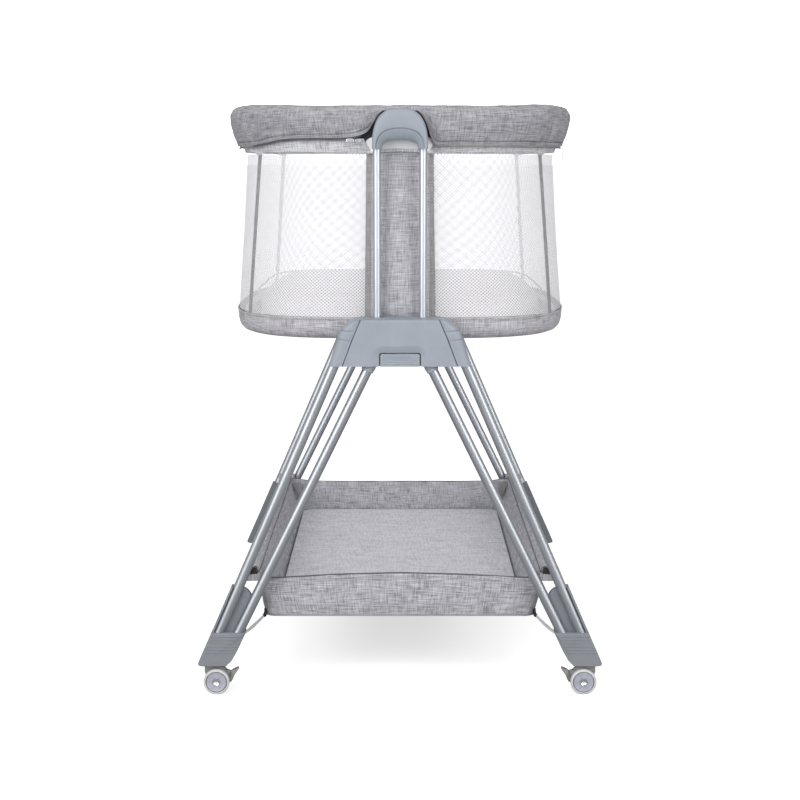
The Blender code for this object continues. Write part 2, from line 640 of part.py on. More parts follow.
def basket():
    """Fabric tray and the board in its floor."""
    rim_x, rim_y, rim_z = BASKET_RIM
    foot_x, foot_y, foot_z = BASKET_FOOT
    wall = BASKET_WALL
    loops = [rounded_rectangle(foot_x, foot_y, foot_z, BASKET_CORNER)]
    loops.append(rounded_rectangle(rim_x, rim_y, rim_z, BASKET_CORNER))
    loops.append(rounded_rectangle(rim_x - wall, rim_y - wall, rim_z, BASKET_CORNER - wall))
    loops.append(rounded_rectangle(foot_x - wall, foot_y - wall, foot_z + wall, BASKET_CORNER - wall))
    make("basket", skin(loops), "linen")
    low_z = foot_z + wall + GAP
    half_x = foot_x - wall - 0.004
    half_y = foot_y - wall - 0.004
    loops = [rounded_rectangle(half_x, half_y, z, 0.020) for z in (low_z, low_z + 0.004)]
    make("basket_board", skin(loops), "linen")


def build():
    """Model every piece of the bassinet."""
    for old in list(bpy.data.objects):
        bpy.data.objects.remove(old)
    basin_soft_parts()
    rim_cover()
    make("top_frame", swept_plan(*TOP_FRAME, TOP_FRAME_RADIUS), "steel")
    zip_parts()
    basket()
    for end_name, end in ENDS:
        end_panel(f"{end_name}_end_panel", end)
        cap(f"{end_name}_cap", end)
        frame_bracket(f"{end_name}_frame_bracket", end)
        hub(f"{end_name}_hub", end)
        hub_cover(f"{end_name}_hub_cover", end)
        release_button(f"{end_name}_release_button", end)
        lock_spring(f"{end_name}_lock_spring", end)
    for side_name, side in SIDES:
        side_rail(f"{side_name}_side_rail", side)
    for end_name, end in ENDS:
        for side_name, side in SIDES:
            corner = f"{end_name}_{side_name}"
            post(f"{corner}_post", side, end)
            lock_pin(f"{corner}_lock_pin", side, end)
            for leg_name, top_x, foot_x, top_z, foot_z in LEGS:
                at = leg_line(top_x, foot_x, side, end)
                leg = tube(at(top_z), at(foot_z), LEG_RADIUS, LEG_WALL)
                make(f"{corner}_{leg_name}_leg", leg, "leg_metal")
            foot(f"{corner}_foot", side, end)
            caster_fork(f"{corner}_caster_fork", side, end)
            caster_wheel(f"{corner}_caster_wheel", side, end)
            caster_brake(f"{corner}_caster_brake", side, end)


build()
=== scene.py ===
"""Looks of a bassinet on a wheeled stand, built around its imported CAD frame.

Metres, +Z up. The front end is at -Y and the left side at -X. Stations are distances along the
basin's plan, from the front centre towards the right.
"""

import math
from bisect import bisect_left

import bmesh
import bpy
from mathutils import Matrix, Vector, noise


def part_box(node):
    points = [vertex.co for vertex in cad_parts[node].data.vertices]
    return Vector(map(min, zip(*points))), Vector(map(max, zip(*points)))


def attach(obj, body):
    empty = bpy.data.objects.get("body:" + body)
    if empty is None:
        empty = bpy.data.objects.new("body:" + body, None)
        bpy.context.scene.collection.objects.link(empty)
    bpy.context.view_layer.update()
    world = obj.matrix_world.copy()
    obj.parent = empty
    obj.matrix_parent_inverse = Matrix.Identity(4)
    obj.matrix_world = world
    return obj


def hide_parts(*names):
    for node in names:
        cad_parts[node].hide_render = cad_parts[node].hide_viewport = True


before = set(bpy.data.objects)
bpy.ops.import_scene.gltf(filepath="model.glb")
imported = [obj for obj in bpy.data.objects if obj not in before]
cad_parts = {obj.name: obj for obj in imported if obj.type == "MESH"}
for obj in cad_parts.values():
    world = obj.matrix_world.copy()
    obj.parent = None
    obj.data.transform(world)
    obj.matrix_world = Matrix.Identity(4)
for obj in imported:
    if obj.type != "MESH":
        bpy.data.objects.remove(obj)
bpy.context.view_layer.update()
ENDS = (("front", -1), ("rear", 1))
SIDES = (("left", -1), ("right", 1))
CORNERS = [(f"{end_name}_{side_name}", end, side) for end_name, end in ENDS for side_name, side in SIDES]

# ---- Sizes, most of them worked out from the frame ----

PLAN_POWER = 3.05
FOOT_SQUARER = 0.5
RIM_OVERHANG = 0.0262
RIM_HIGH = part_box("rim_cover")[1]
RIM_LIP_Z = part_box("rim_cover")[0].z
WALL_LOW, WALL_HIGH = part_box("mesh_wall")
PANEL_LOW, PANEL_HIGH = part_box("rear_end_panel")
WALL_TOP = (RIM_HIGH.x - RIM_OVERHANG, RIM_HIGH.y - RIM_OVERHANG, PANEL_HIGH.z + 0.001)
WALL_FOOT = (WALL_HIGH.x, WALL_HIGH.y, WALL_LOW.z)
BAND_BOTTOM_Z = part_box("lower_band")[0].z
CAP_LOW, CAP_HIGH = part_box("rear_cap")
HUB_LOW, HUB_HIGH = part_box("rear_hub")
COVER_LOW, COVER_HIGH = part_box("rear_hub_cover")
HUB_BOTTOM_Z = COVER_LOW.z
BUTTON_LOW, BUTTON_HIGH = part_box("rear_release_button")
BASKET_LOW, BASKET_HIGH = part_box("basket")
BASKET_TAPER = 0.011
BASKET_CORNER = 0.016
SEAM_SHARE = 0.858
SEAM_TAPE_HALF = 0.0056
SIDE_RAIL_X = 0.234
MATTRESS_POWER = 5.0
PANEL_BULGE = 0.0135
PANEL_BORDER = 0.0085
BUTTON_CLEARANCE = 0.0018
LOCK_HOLE_COUNT, LOCK_HOLE_PITCH = 5, 0.04
NET_CELL = (0.0055, 0.005, 1.0)
WEAVE_PITCH = 0.0011
CAMERA_PLACE = (0.0, -2.904, 0.843)
CAMERA_TILT = 8.44
CAMERA_LENS = 72.18


# ---- Node helpers ----

def node(tree, kind, inputs=(), **settings):
    """Add a shader node; inputs are (socket, value or output to link) pairs."""
    made = tree.nodes.new("ShaderNode" + kind)
    for key, value in settings.items():
        setattr(made, key, value)
    for key, value in inputs:
        socket = made.inputs[key]
        if isinstance(value, bpy.types.NodeSocket):
            tree.links.new(value, socket)
        else:
            socket.default_value = value
    return made


def calc(tree, operation, *values):
    """The output of one Math node."""
    return node(tree, "Math", list(enumerate(values)), operation=operation).outputs[0]


def ramp(tree, factor, *stops):
    """A colour ramp over grey or coloured stops of (position, colour)."""
    made = node(tree, "ValToRGB", [("Fac", factor)])
    elements = made.color_ramp.elements
    while len(elements) < len(stops):
        elements.new(0.5)
    for element, (position, color) in zip(elements, stops):
        element.position = position
        element.color = (*color, 1.0) if isinstance(color, tuple) else (color, color, color, 1.0)
    return made.outputs["Color"]


def tinted(tint, *levels):
    """Colour stops with one tint at several levels of (position, level)."""
    return [(position, tuple(part * level for part in tint)) for position, level in levels]


def space(tree, woven, scale):
    """Surface coordinates in metres, from the weave map or from the object, divided by a size per axis."""
    if woven:
        source = node(tree, "UVMap", uv_map="weave").outputs["UV"]
    else:
        source = node(tree, "TexCoord").outputs["Object"]
    size = tuple(1.0 / part for part in scale)
    return node(tree, "Mapping", [("Vector", source), ("Scale", size)]).outputs["Vector"]


def grain(tree, woven, scale, detail=2.0, rough=0.5):
    """Noise whose features have a given size in metres along each axis."""
    inputs = [("Vector", space(tree, woven, scale)), ("Scale", 1.0), ("Detail", detail), ("Roughness", rough)]
    return node(tree, "TexNoise", inputs).outputs["Fac"]


def principled(name, roughness, metallic=0.0, **sockets):
    """A new material with its Principled shader's uniform values set on the shader itself."""
    made = bpy.data.materials.new(name)
    made.use_nodes = True
    shader = made.node_tree.nodes["Principled BSDF"]
    shader.inputs["Roughness"].default_value = roughness
    shader.inputs["Metallic"].default_value = metallic
    for key, value in sockets.items():
        shader.inputs[key.replace("_", " ")].default_value = value
    return made, made.node_tree, shader


def bump(tree, shader, height, distance, strength=1.0):
    """Feed a height in 0 to 1 into the shader's normal; distance is its depth in metres."""
    made = node(tree, "Bump", [("Height", height), ("Distance", distance), ("Strength", strength)])
    tree.links.new(made.outputs["Normal"], shader.inputs["Normal"])


# ---- Materials ----

def linen(name, tint, level=1.0, woven=True, contrast=1.0):
    """Heathered cloth: slubs along both threads, uneven dye and a fine plain weave."""
    made, tree, shader = principled(name, 0.9, Sheen_Weight=0.06, Sheen_Roughness=0.5)
    across = grain(tree, woven, (0.03, 0.0021, 0.0021), 3.0, 0.6)
    upward = grain(tree, woven, (0.0021, 0.022, 0.022 if woven else 0.0021), 3.0, 0.6)
    cloudy = grain(tree, woven, (0.035, 0.022, 0.035), 2.0)
    threads = calc(tree, "ADD", calc(tree, "MULTIPLY", across, 0.48), calc(tree, "MULTIPLY", upward, 0.4))
    mixed = calc(tree, "ADD", threads, calc(tree, "MULTIPLY", cloudy, 0.12))
    low, high = 0.5 - 0.13 / contrast, 0.5 + 0.13 / contrast
    stops = tinted(tint, (low, 0.5 * level), (0.5, level), (high, 1.45 * level))
    tree.links.new(ramp(tree, mixed, *stops), shader.inputs["Base Color"])
    place = node(tree, "SeparateXYZ", [("Vector", space(tree, woven, (WEAVE_PITCH,) * 3))])
    waves = [calc(tree, "SINE", calc(tree, "MULTIPLY", place.outputs[i], 2 * math.pi)) for i in (0, 1)]
    checks = calc(tree, "MULTIPLY_ADD", calc(tree, "MULTIPLY", *waves), 0.35, mixed)
    bump(tree, shader, checks, 0.0007, 0.7)
    return made


def net(name):
    """White knitted net whose holes sit on a diamond lattice."""
    made, tree, shader = principled(name, 0.75, Sheen_Weight=0.2)
    place = node(tree, "SeparateXYZ", [("Vector", space(tree, True, NET_CELL))])
    u, v = place.outputs[0], place.outputs[1]
    turns = [calc(tree, "MULTIPLY", calc(tree, way, u, v), math.pi) for way in ("ADD", "SUBTRACT")]
    waves = [calc(tree, "ABSOLUTE", calc(tree, "SINE", turn)) for turn in turns]
    cell = calc(tree, "MULTIPLY", *waves)
    thread = ramp(tree, cell, (0.42, 1.0), (0.52, 0.0))
    tree.links.new(thread, shader.inputs["Alpha"])
    fuzz = grain(tree, True, (0.004, 0.004, 0.004), 3.0)
    shades = tinted((0.97, 0.96, 1.0), (0.3, 0.87), (0.7, 0.94))
    tree.links.new(ramp(tree, fuzz, *shades), shader.inputs["Base Color"])
    bump(tree, shader, calc(tree, "SUBTRACT", 1.0, cell), 0.0006)
    return made


def plastic(name, tint, roughness=0.48, speckle=0.05):
    """Moulded plastic with a fine spark-eroded grain and slightly uneven gloss."""
    made, tree, shader = principled(name, roughness, IOR=1.47)
    tone = grain(tree, False, (0.03, 0.03, 0.03), 3.0)
    levels = tinted(tint, (0.3, 1.0 - speckle), (0.7, 1.0 + speckle))
    tree.links.new(ramp(tree, tone, *levels), shader.inputs["Base Color"])
    fine = grain(tree, False, (0.0006, 0.0006, 0.0006), 2.0)
    wear = calc(tree, "MULTIPLY_ADD", tone, 0.16, roughness - 0.08)
    tree.links.new(calc(tree, "MULTIPLY_ADD", fine, 0.08, wear), shader.inputs["Roughness"])
    bump(tree, shader, fine, 0.00005, 0.6)
    return made


def metal(name, tint, roughness, woven=True, strength=0.15):
    """Drawn or brushed metal: hairlines run along the tube and roughen its gloss."""
    made, tree, shader = principled(name, roughness, 1.0)
    lines = grain(tree, woven, (0.0006, 0.08, 0.08), 4.0, 0.6)
    tone = grain(tree, woven, (0.02, 0.06, 0.02), 2.0)
    tree.links.new(ramp(tree, tone, *tinted(tint, (0.3, 0.93), (0.7, 1.06))), shader.inputs["Base Color"])
    tree.links.new(calc(tree, "MULTIPLY_ADD", lines, 0.16, roughness - 0.08), shader.inputs["Roughness"])
    bump(tree, shader, lines, 0.00003, strength)
    return made


def webbing(name, tint, pitch=0.0016):
    """Woven strap with ribs across its length."""
    made, tree, shader = principled(name, 0.75, Sheen_Weight=0.2)
    place = node(tree, "SeparateXYZ", [("Vector", space(tree, True, (pitch, pitch, pitch)))])
    ribs = calc(tree, "SINE", calc(tree, "MULTIPLY", place.outputs[1], 2 * math.pi))
    fuzz = grain(tree, True, (0.0012, 0.0012, 0.0012), 2.0)
    height = calc(tree, "MULTIPLY_ADD", ribs, 0.35, fuzz)
    tree.links.new(ramp(tree, height, *tinted(tint, (0.1, 0.65), (0.9, 1.3))), shader.inputs["Base Color"])
    bump(tree, shader, height, 0.0004)
    return made


GREY = (0.985, 0.97, 1.05)
LOOKS = {
    "rim": (linen("rim_linen", GREY, 0.34, contrast=1.25), "linen"),
    "band": (linen("band_linen", (0.99, 0.99, 1.05), 0.66, contrast=1.0), "linen"),
    "panel": (linen("panel_linen", GREY, 0.43, contrast=1.0), "linen"),
    "lower": (linen("lower_linen", (1.0, 0.98, 1.05), 0.47), "linen"),
    "basket": (linen("basket_linen", (0.98, 0.97, 1.06), 0.43, contrast=1.3), "linen"),
    "board": (linen("board_linen", (0.99, 0.98, 1.05), 0.9, woven=False, contrast=0.6), "base_board"),
    "binding": (linen("binding_tape", (1.0, 0.985, 1.0), 0.31, contrast=0.6), "linen"),
    "mattress": (linen("mattress_cloth", (1.0, 0.99, 1.03), 0.55, woven=False, contrast=0.4), "mattress"),
    "thread": (linen("thread", (1.0, 1.0, 1.0), 0.6, woven=False, contrast=0.6), "linen"),
    "net": (net("net"), "mesh"),
    "leg": (metal("leg_metal", (0.45, 0.47, 0.5), 0.43), "leg_tube"),
    "post": (metal("post_metal", (0.56, 0.58, 0.62), 0.44), "post_tube"),
    "hub": (plastic("hub_plastic", (0.27, 0.3, 0.345)), "hub_plastic"),
    "foot": (plastic("foot_plastic", (0.2, 0.212, 0.234), 0.52), "foot_plastic"),
    "caster": (plastic("caster_plastic", (0.24, 0.24, 0.235), 0.58, 0.14), "caster_plastic"),
    "tyre": (plastic("tyre_plastic", (0.56, 0.56, 0.565), 0.62), "caster_wheel"),
    "disc": (plastic("disc_plastic", (0.38, 0.39, 0.45), 0.45, 0.12), "caster_wheel"),
    "bracket": (plastic("bracket_plastic", (0.92, 0.92, 0.93), 0.24), "frame_bracket"),
    "webbing": (webbing("black_webbing", (0.02, 0.02, 0.022)), "linen"),
    "strap": (webbing("grey_strap", (0.55, 0.55, 0.56)), "linen"),
    "zip_tape": (webbing("zip_tape", (0.09, 0.09, 0.1), 0.0013), "linen"),
    "zip_metal": (metal("zip_metal", (0.72, 0.73, 0.75), 0.22, woven=False), "zip_metal"),
    "steel": (metal("inner_steel", (0.5, 0.51, 0.53), 0.3, woven=False), "inner_steel"),
    "frame": (metal("frame_metal", (0.62, 0.63, 0.65), 0.32, woven=False), "frame_metal"),
}


# ---- Mesh helpers ----

def running(points, closed):
    """Distances from the first point, with one more entry when the line closes on itself."""
    total = [0.0]
    chain = list(points) + ([points[0]] if closed else [])
    for a, b in zip(chain, chain[1:]):
        total.append(total[-1] + (Vector(b) - Vector(a)).length)
    return total


def grid(rows, wrap=False, ring=False, ends=False):
    """Quads over rows of points with a weave map in metres; wrap closes each row, ring the rows."""
    bm = bmesh.new()
    layer = bm.loops.layers.uv.new("weave")
    count, width = len(rows), len(rows[0])
    verts = [[bm.verts.new(point) for point in row] for row in rows]
    along = running(rows[count // 2], wrap)
    across = running([row[width // 3] for row in rows], ring)
    for i in range(count if ring else count - 1):
        for j in range(width if wrap else width - 1):
            low, high = verts[i], verts[(i + 1) % count]
            k = (j + 1) % width
            face = bm.faces.new((low[j], low[k], high[k], high[j]))
            corners = ((i, j), (i, j + 1), (i + 1, j + 1), (i + 1, j))
            for loop, (a, b) in zip(face.loops, corners):
                loop[layer].uv = (along[b], across[a])
    if ends:
        for row in (verts[0], verts[-1]):
            face = bm.faces.new(row)
            for loop in face.loops:
                loop[layer].uv = loop.vert.co.xy
    bmesh.ops.recalc_face_normals(bm, faces=bm.faces)
    return bm


def circle(center, axis, radius, sides):
    """Points around an axis."""
    turn = Vector((0, 0, 1)).rotation_difference(Vector(axis).normalized())
    angles = [2 * math.pi * i / sides for i in range(sides)]
    return [Vector(center) + turn @ Vector((math.cos(a) * radius, math.sin(a) * radius, 0)) for a in angles]


def lathe(profile, center, axis, sides=48):
    """A body of revolution from (distance along the axis, radius) pairs."""
    axis = Vector(axis).normalized()
    return grid([circle(Vector(center) + axis * step, axis, radius, sides) for step, radius in profile],
                wrap=True, ends=True)


def rod(start, end, radius, sides=32, edge=0.0006):
    """A round bar with softened rims."""
    length = (Vector(end) - Vector(start)).length
    profile = ((0, radius - edge), (edge, radius), (length - edge, radius), (length, radius - edge))
    return lathe(profile, start, Vector(end) - Vector(start), sides)


def round_corners(outline, reach, steps=4):
    """The outline with each corner replaced by a short curve that starts reach before it."""
    points = []
    for i, corner in enumerate(outline):
        back, ahead = outline[i - 1] - corner, outline[(i + 1) % len(outline)] - corner
        start = corner + back.normalized() * min(reach, back.length * 0.45)
        stop = corner + ahead.normalized() * min(reach, ahead.length * 0.45)
        for k in range(steps + 1):
            t = k / steps
            points.append(start * (1 - t) ** 2 + corner * 2 * t * (1 - t) + stop * t * t)
    return points


def inset(outline, distance):
    """The outline moved inwards by a distance."""
    area = sum(a.cross(b) for a, b in zip(outline, outline[1:] + outline[:1]))
    flip = 1 if area > 0 else -1
    moved = []
    for i, point in enumerate(outline):
        before = (point - outline[i - 1]).normalized()
        after = (outline[(i + 1) % len(outline)] - point).normalized()
        normal = Vector((-before.y - after.y, before.x + after.x)) * flip
        size = max(normal.length, 0.5)
        moved.append(point + normal.normalized() * distance * 2 / size if normal.length else point.copy())
    return moved


def plate(outline, depth, place, corner=0.002, edge=0.001, steps=3):
    """A moulding with a flat outline, rounded at its corners and along both rims.

    place(u, v, w) turns outline coordinates and a depth into a point.
    """
    outline = round_corners([Vector(point) for point in outline], corner)
    low, high = depth
    rim = [(edge * (1 - math.cos(a)), edge * (1 - math.sin(a)))
           for a in (math.pi / 2 * k / steps for k in range(steps + 1))]
    levels = [(shrink, low + rise) for shrink, rise in reversed(rim)]
    levels += [(shrink, high - rise) for shrink, rise in rim]
    return grid([[place(p.x, p.y, w) for p in inset(outline, shrink)] for shrink, w in levels],
                wrap=True, ends=True)


def shield(heights, half_width, back, front, columns=40):
    """A closed body from rows by height, whose back and front are functions (x, z) -> y."""
    rows = []
    steps = [math.sin(math.pi / 2 * (2 * k / columns - 1)) for k in range(columns + 1)]
    for z in heights:
        line = [step * half_width(z) for step in steps]
        row = [Vector((x, front(x, z), z)) for x in line]
        row += [Vector((x, back(x, z), z)) for x in reversed(line)]
        rows.append(row)
    return grid(rows, wrap=True, ends=True)


def facing(end, side=1):
    """A placement for outlines in the XZ plane, on one side; their depth counts towards one end."""
    return lambda u, v, w: Vector((side * u, end * w, v))


def spread(low, high, count):
    """Evenly spaced numbers from low to high, both included."""
    return [low + (high - low) * i / (count - 1) for i in range(count)]


def eased(points, x):
    """A smooth curve through (x, value) pairs; past its ends it keeps the end values."""
    xs = [p[0] for p in points]
    if x <= xs[0]:
        return points[0][1]
    if x >= xs[-1]:
        return points[-1][1]
    i = bisect_left(xs, x) - 1
    slopes = []
    for k in (i, i + 1):
        a, b = points[max(k - 1, 0)], points[min(k + 1, len(points) - 1)]
        slopes.append((b[1] - a[1]) / (b[0] - a[0]))
    (x0, y0), (x1, y1) = points[i], points[i + 1]
    t = (x - x0) / (x1 - x0)
    span = x1 - x0
    return ((2 * t**3 - 3 * t**2 + 1) * y0 + (t**3 - 2 * t**2 + t) * span * slopes[0]
            + (3 * t**2 - 2 * t**3) * y1 + (t**3 - t**2) * span * slopes[1])


def smooth(x):
    """A step from 0 to 1 with soft ends."""
    x = min(max(x, 0.0), 1.0)
    return x * x * (3 - 2 * x)


def object_of(name, parts):
    """One object from one or more bmeshes, which are used up."""
    mesh = bpy.data.meshes.new(name)
    whole = parts[0]
    for part in parts[1:]:
        extra = bpy.data.meshes.new("part")
        part.to_mesh(extra)
        whole.from_mesh(extra)
        bpy.data.meshes.remove(extra)
        part.free()
    whole.to_mesh(mesh)
    whole.free()
    made = bpy.data.objects.new(name, mesh)
    bpy.context.scene.collection.objects.link(made)
    return made


def dress(made, look, body, replaces=(), sharp=38):
    """Give a finished object its material, body and smooth shading."""
    material, slot = LOOKS[look]
    made.data.materials.clear()
    made.data.materials.append(material)
    made.data.shade_smooth()
    made.data.set_sharp_from_angle(angle=math.radians(sharp))
    for face in made.data.polygons:
        if face.loop_total > 12:
            for k in face.loop_indices:
                made.data.edges[made.data.loops[k].edge_index].use_edge_sharp = True
    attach(made, body)
    if replaces:
        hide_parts(*replaces)
    return made


def piece(name, parts, look, body, replaces=(), sharp=38):
    """An object made from one bmesh or a list of them, dressed."""
    parts = parts if isinstance(parts, list) else [parts]
    return dress(object_of(name, parts), look, body, replaces, sharp)


def apply_modifiers(made):
    """Replace an object's mesh by what its modifiers make of it."""
    bpy.context.view_layer.update()
    graph = bpy.context.evaluated_depsgraph_get()
    mesh = bpy.data.meshes.new_from_object(made.evaluated_get(graph))
    made.modifiers.clear()
    made.data = mesh


def carve(made, cutters):
    """Cut closed bodies out of an object."""
    tool = object_of("cutter", cutters)
    modifier = made.modifiers.new("carve", "BOOLEAN")
    modifier.operation = "DIFFERENCE"
    modifier.solver = "EXACT"
    modifier.use_self = True
    modifier.object = tool
    apply_modifiers(made)
    bpy.data.objects.remove(tool)


def ripple(made, depth, size, seed, keep=None):
    """Soft uneven cloth: moves points along their normals; keep(co) is the share that may move."""
    scale = [1.0 / part for part in size]
    normals = [vertex.normal.copy() for vertex in made.data.vertices]
    for vertex, normal in zip(made.data.vertices, normals):
        place = Vector([c * s for c, s in zip(vertex.co, scale)]) + Vector((seed, seed * 2.7, 0))
        share = 1.0 if keep is None else keep(vertex.co)
        vertex.co += normal * depth * share * noise.fractal(place, 1.0, 2.0, 3)
    made.data.update()


def stitches(lines, length=0.0026, gap=0.0014, width=0.00045):
    """Sewn thread: short raised dashes along lines of (point, outward direction) pairs."""
    bm = bmesh.new()
    bm.loops.layers.uv.new("weave")
    for line in lines:
        reach = running([p for p, _ in line], False)
        at = gap
        k = 0
        while at + length < reach[-1]:
            while reach[k + 1] < at:
                k += 1
            (a, out), (b, _) = line[k], line[k + 1]
            direction = (b - a).normalized()
            start = a + direction * (at - reach[k])
            side = direction.cross(out).normalized() * width
            lift = out * width * 1.1
            stop = start + direction * length
            middle = (start + stop) / 2
            ring = [start, middle - side, stop, middle + side]
            base = [bm.verts.new(p - lift * 0.4) for p in ring]
            top = bm.verts.new(middle + lift)
            for i in range(4):
                bm.faces.new((base[i], base[(i + 1) % 4], top))
            at += length + gap
    bmesh.ops.recalc_face_normals(bm, faces=bm.faces)
    return bm


def ribbon(path, outs, width, thickness):
    """A flat strap along a path; outs are the directions its face looks at each point."""
    rows = []
    for i, (point, out) in enumerate(zip(path, outs)):
        along = (path[min(i + 1, len(path) - 1)] - path[max(i - 1, 0)]).normalized()
        side = along.cross(out).normalized()
        out = side.cross(along).normalized()
        half, thick = width / 2, thickness / 2
        section = ((-1.0, -0.5), (-1.0, 0.5), (-0.92, 1.0), (0.92, 1.0), (1.0, 0.5), (1.0, -0.5),
                   (0.92, -1.0), (-0.92, -1.0))
        rows.append([point + side * half * a + out * thick * b for a, b in section])
    return grid(rows, wrap=True, ends=True)


# ---- The basin's plan ----

def plan_xy(turn, half_x, half_y, power=PLAN_POWER):
    """A point of the superellipse at a turn."""
    c, s = math.cos(turn), math.sin(turn)
    return math.copysign(abs(c) ** (2 / power), c) * half_x, math.copysign(abs(s) ** (2 / power), s) * half_y


def cord_loop(line, radius):
    """A thin sewn cord that follows a closed line of points around the origin."""
    rows = []
    for k in range(8):
        a = math.pi / 4 * k
        rows.append([p + Vector((p.x, p.y, 0)).normalized() * radius * math.cos(a)
                     + Vector((0, 0, radius * math.sin(a))) for p in line])
    return grid(rows, wrap=True, ring=True)


def plan_table(count=16000):
    """Running length along the top of the wall against turn, from the front centre rightwards."""
    turns = [2 * math.pi * i / count - math.pi / 2 for i in range(count + 1)]
    lengths = [0.0]
    last = plan_xy(turns[0], *WALL_TOP[:2])
    for turn in turns[1:]:
        point = plan_xy(turn, *WALL_TOP[:2])
        lengths.append(lengths[-1] + math.dist(last, point))
        last = point
    return turns, lengths


TURNS, LENGTHS = plan_table()
PLAN_LENGTH = LENGTHS[-1]
HALF_PLAN = PLAN_LENGTH / 2


def plan_point(station, z, grow=0.0, tapered=True):
    """A point of the basin's wall at a station and height, moved outwards by grow."""
    station %= PLAN_LENGTH
    i = min(max(bisect_left(LENGTHS, station), 1), len(LENGTHS) - 1)
    share = (station - LENGTHS[i - 1]) / (LENGTHS[i] - LENGTHS[i - 1])
    turn = TURNS[i - 1] + (TURNS[i] - TURNS[i - 1]) * share
    rise = (z - WALL_FOOT[2]) / (WALL_TOP[2] - WALL_FOOT[2]) if tapered else 1.0
    half_x = WALL_FOOT[0] + (WALL_TOP[0] - WALL_FOOT[0]) * rise + grow
    half_y = WALL_FOOT[1] + (WALL_TOP[1] - WALL_FOOT[1]) * rise + grow
    squarer = FOOT_SQUARER * (1 - rise) * smooth((abs(math.cos(turn)) - 0.12) / 0.35)
    x, y = plan_xy(turn, half_x, half_y, PLAN_POWER + squarer)
    return Vector((x, y, z))


def outward(station):
    """The horizontal direction out of the basin at a station."""
    step = plan_point(station + 0.001, 0, tapered=False) - plan_point(station - 0.001, 0, tapered=False)
    return Vector((step.y, -step.x, 0)).normalized()


def stations(fine=()):
    """Stations all around the plan, closer together near the given places."""
    found = {round(PLAN_LENGTH * i / 420, 5) for i in range(420)}
    for center, reach, pitch in fine:
        steps = int(reach / pitch)
        found -= {s for s in found if abs(s - center) < reach or abs(s - center - PLAN_LENGTH) < reach}
        found |= {round((center + pitch * k) % PLAN_LENGTH, 5) for k in range(-steps, steps + 1)}
    return sorted(found)


SEAM_STATION = next(at for turn, at in zip(TURNS, LENGTHS)
                    if plan_xy(turn, *WALL_TOP[:2])[0] > SEAM_SHARE * WALL_TOP[0])
SEAMS = [SEAM_STATION, HALF_PLAN - SEAM_STATION, HALF_PLAN + SEAM_STATION, PLAN_LENGTH - SEAM_STATION]


def seam_dent(station, width=0.0016):
    """How deep a sewn seam draws the cloth in near a station, from 0 to 1."""
    return sum(math.exp(-((station - seam) / width) ** 2) for seam in SEAMS)


# ---- Rim cover ----

RIM_SIDE = ((RIM_LIP_Z, 0.0145), (0.886, 0.0215), (0.904, 0.0262), (0.915, 0.0262), (0.9265, 0.0198))
RIM_CROWN = ((0.02, 0.9262), (0.0165, 0.9285), (0.011, 0.9299), (0.002, 0.9301), (-0.006, 0.9296),
             (-0.012, 0.9275), (-0.0165, 0.9235), (-0.0188, 0.917), (-0.0192, 0.909), (-0.0186, 0.9),
             (-0.018, 0.892), (-0.0176, 0.885), (-0.0152, 0.885), (-0.0158, 0.905), (-0.01, 0.919),
             (0.004, 0.921))
HEM = 0.0058
# Where the lip of the cover runs: (station of the row above, station of the lip, height of the lip).
CLOSED_LIP = ((0.0, 0.0, 0.9262), (0.008, 0.0075, 0.9262), (0.016, 0.019, 0.9248),
              (0.0235, 0.0266, 0.9205), (0.03, 0.0322, 0.9127), (0.036, 0.037, 0.9029),
              (0.0415, 0.0411, 0.8916), (0.0465, 0.0449, 0.8804), (0.0515, 0.048, 0.8747),
              (0.057, 0.053, 0.8697), (0.068, 0.066, RIM_LIP_Z), (0.085, 0.085, RIM_LIP_Z),
              (0.3, 0.3, RIM_LIP_Z))
OPEN_LIP = ((0.0, 0.0, 0.9262), (0.008, 0.008, 0.9262), (0.016, 0.0218, 0.9245), (0.0235, 0.0297, 0.9182),
            (0.03, 0.0346, 0.9101), (0.036, 0.0388, 0.9012), (0.042, 0.0424, 0.894), (0.05, 0.0478, 0.8885),
            (0.06, 0.0558, 0.8846), (0.074, 0.0712, 0.881), (0.097, 0.0963, 0.8799), (0.122, 0.1214, 0.8799),
            (0.151, 0.1514, 0.8796), (0.172, 0.1716, 0.879), (0.193, 0.1926, 0.8768), (0.218, 0.218, 0.8732),
            (0.244, 0.244, 0.8706), (0.275, 0.275, RIM_LIP_Z), (0.3, 0.3, RIM_LIP_Z))


def lip(station):
    """Station and height of the cover's lip below a station of its upper part."""
    base = HALF_PLAN * round(station / HALF_PLAN)
    away = station - base
    table = OPEN_LIP if station > HALF_PLAN * 1.5 else CLOSED_LIP
    if abs(away) > table[-1][0]:
        return station, RIM_LIP_Z
    moved = eased([(a, b) for a, b, _ in table], abs(away))
    return base + math.copysign(moved, away), eased([(a, c) for a, _, c in table], abs(away))


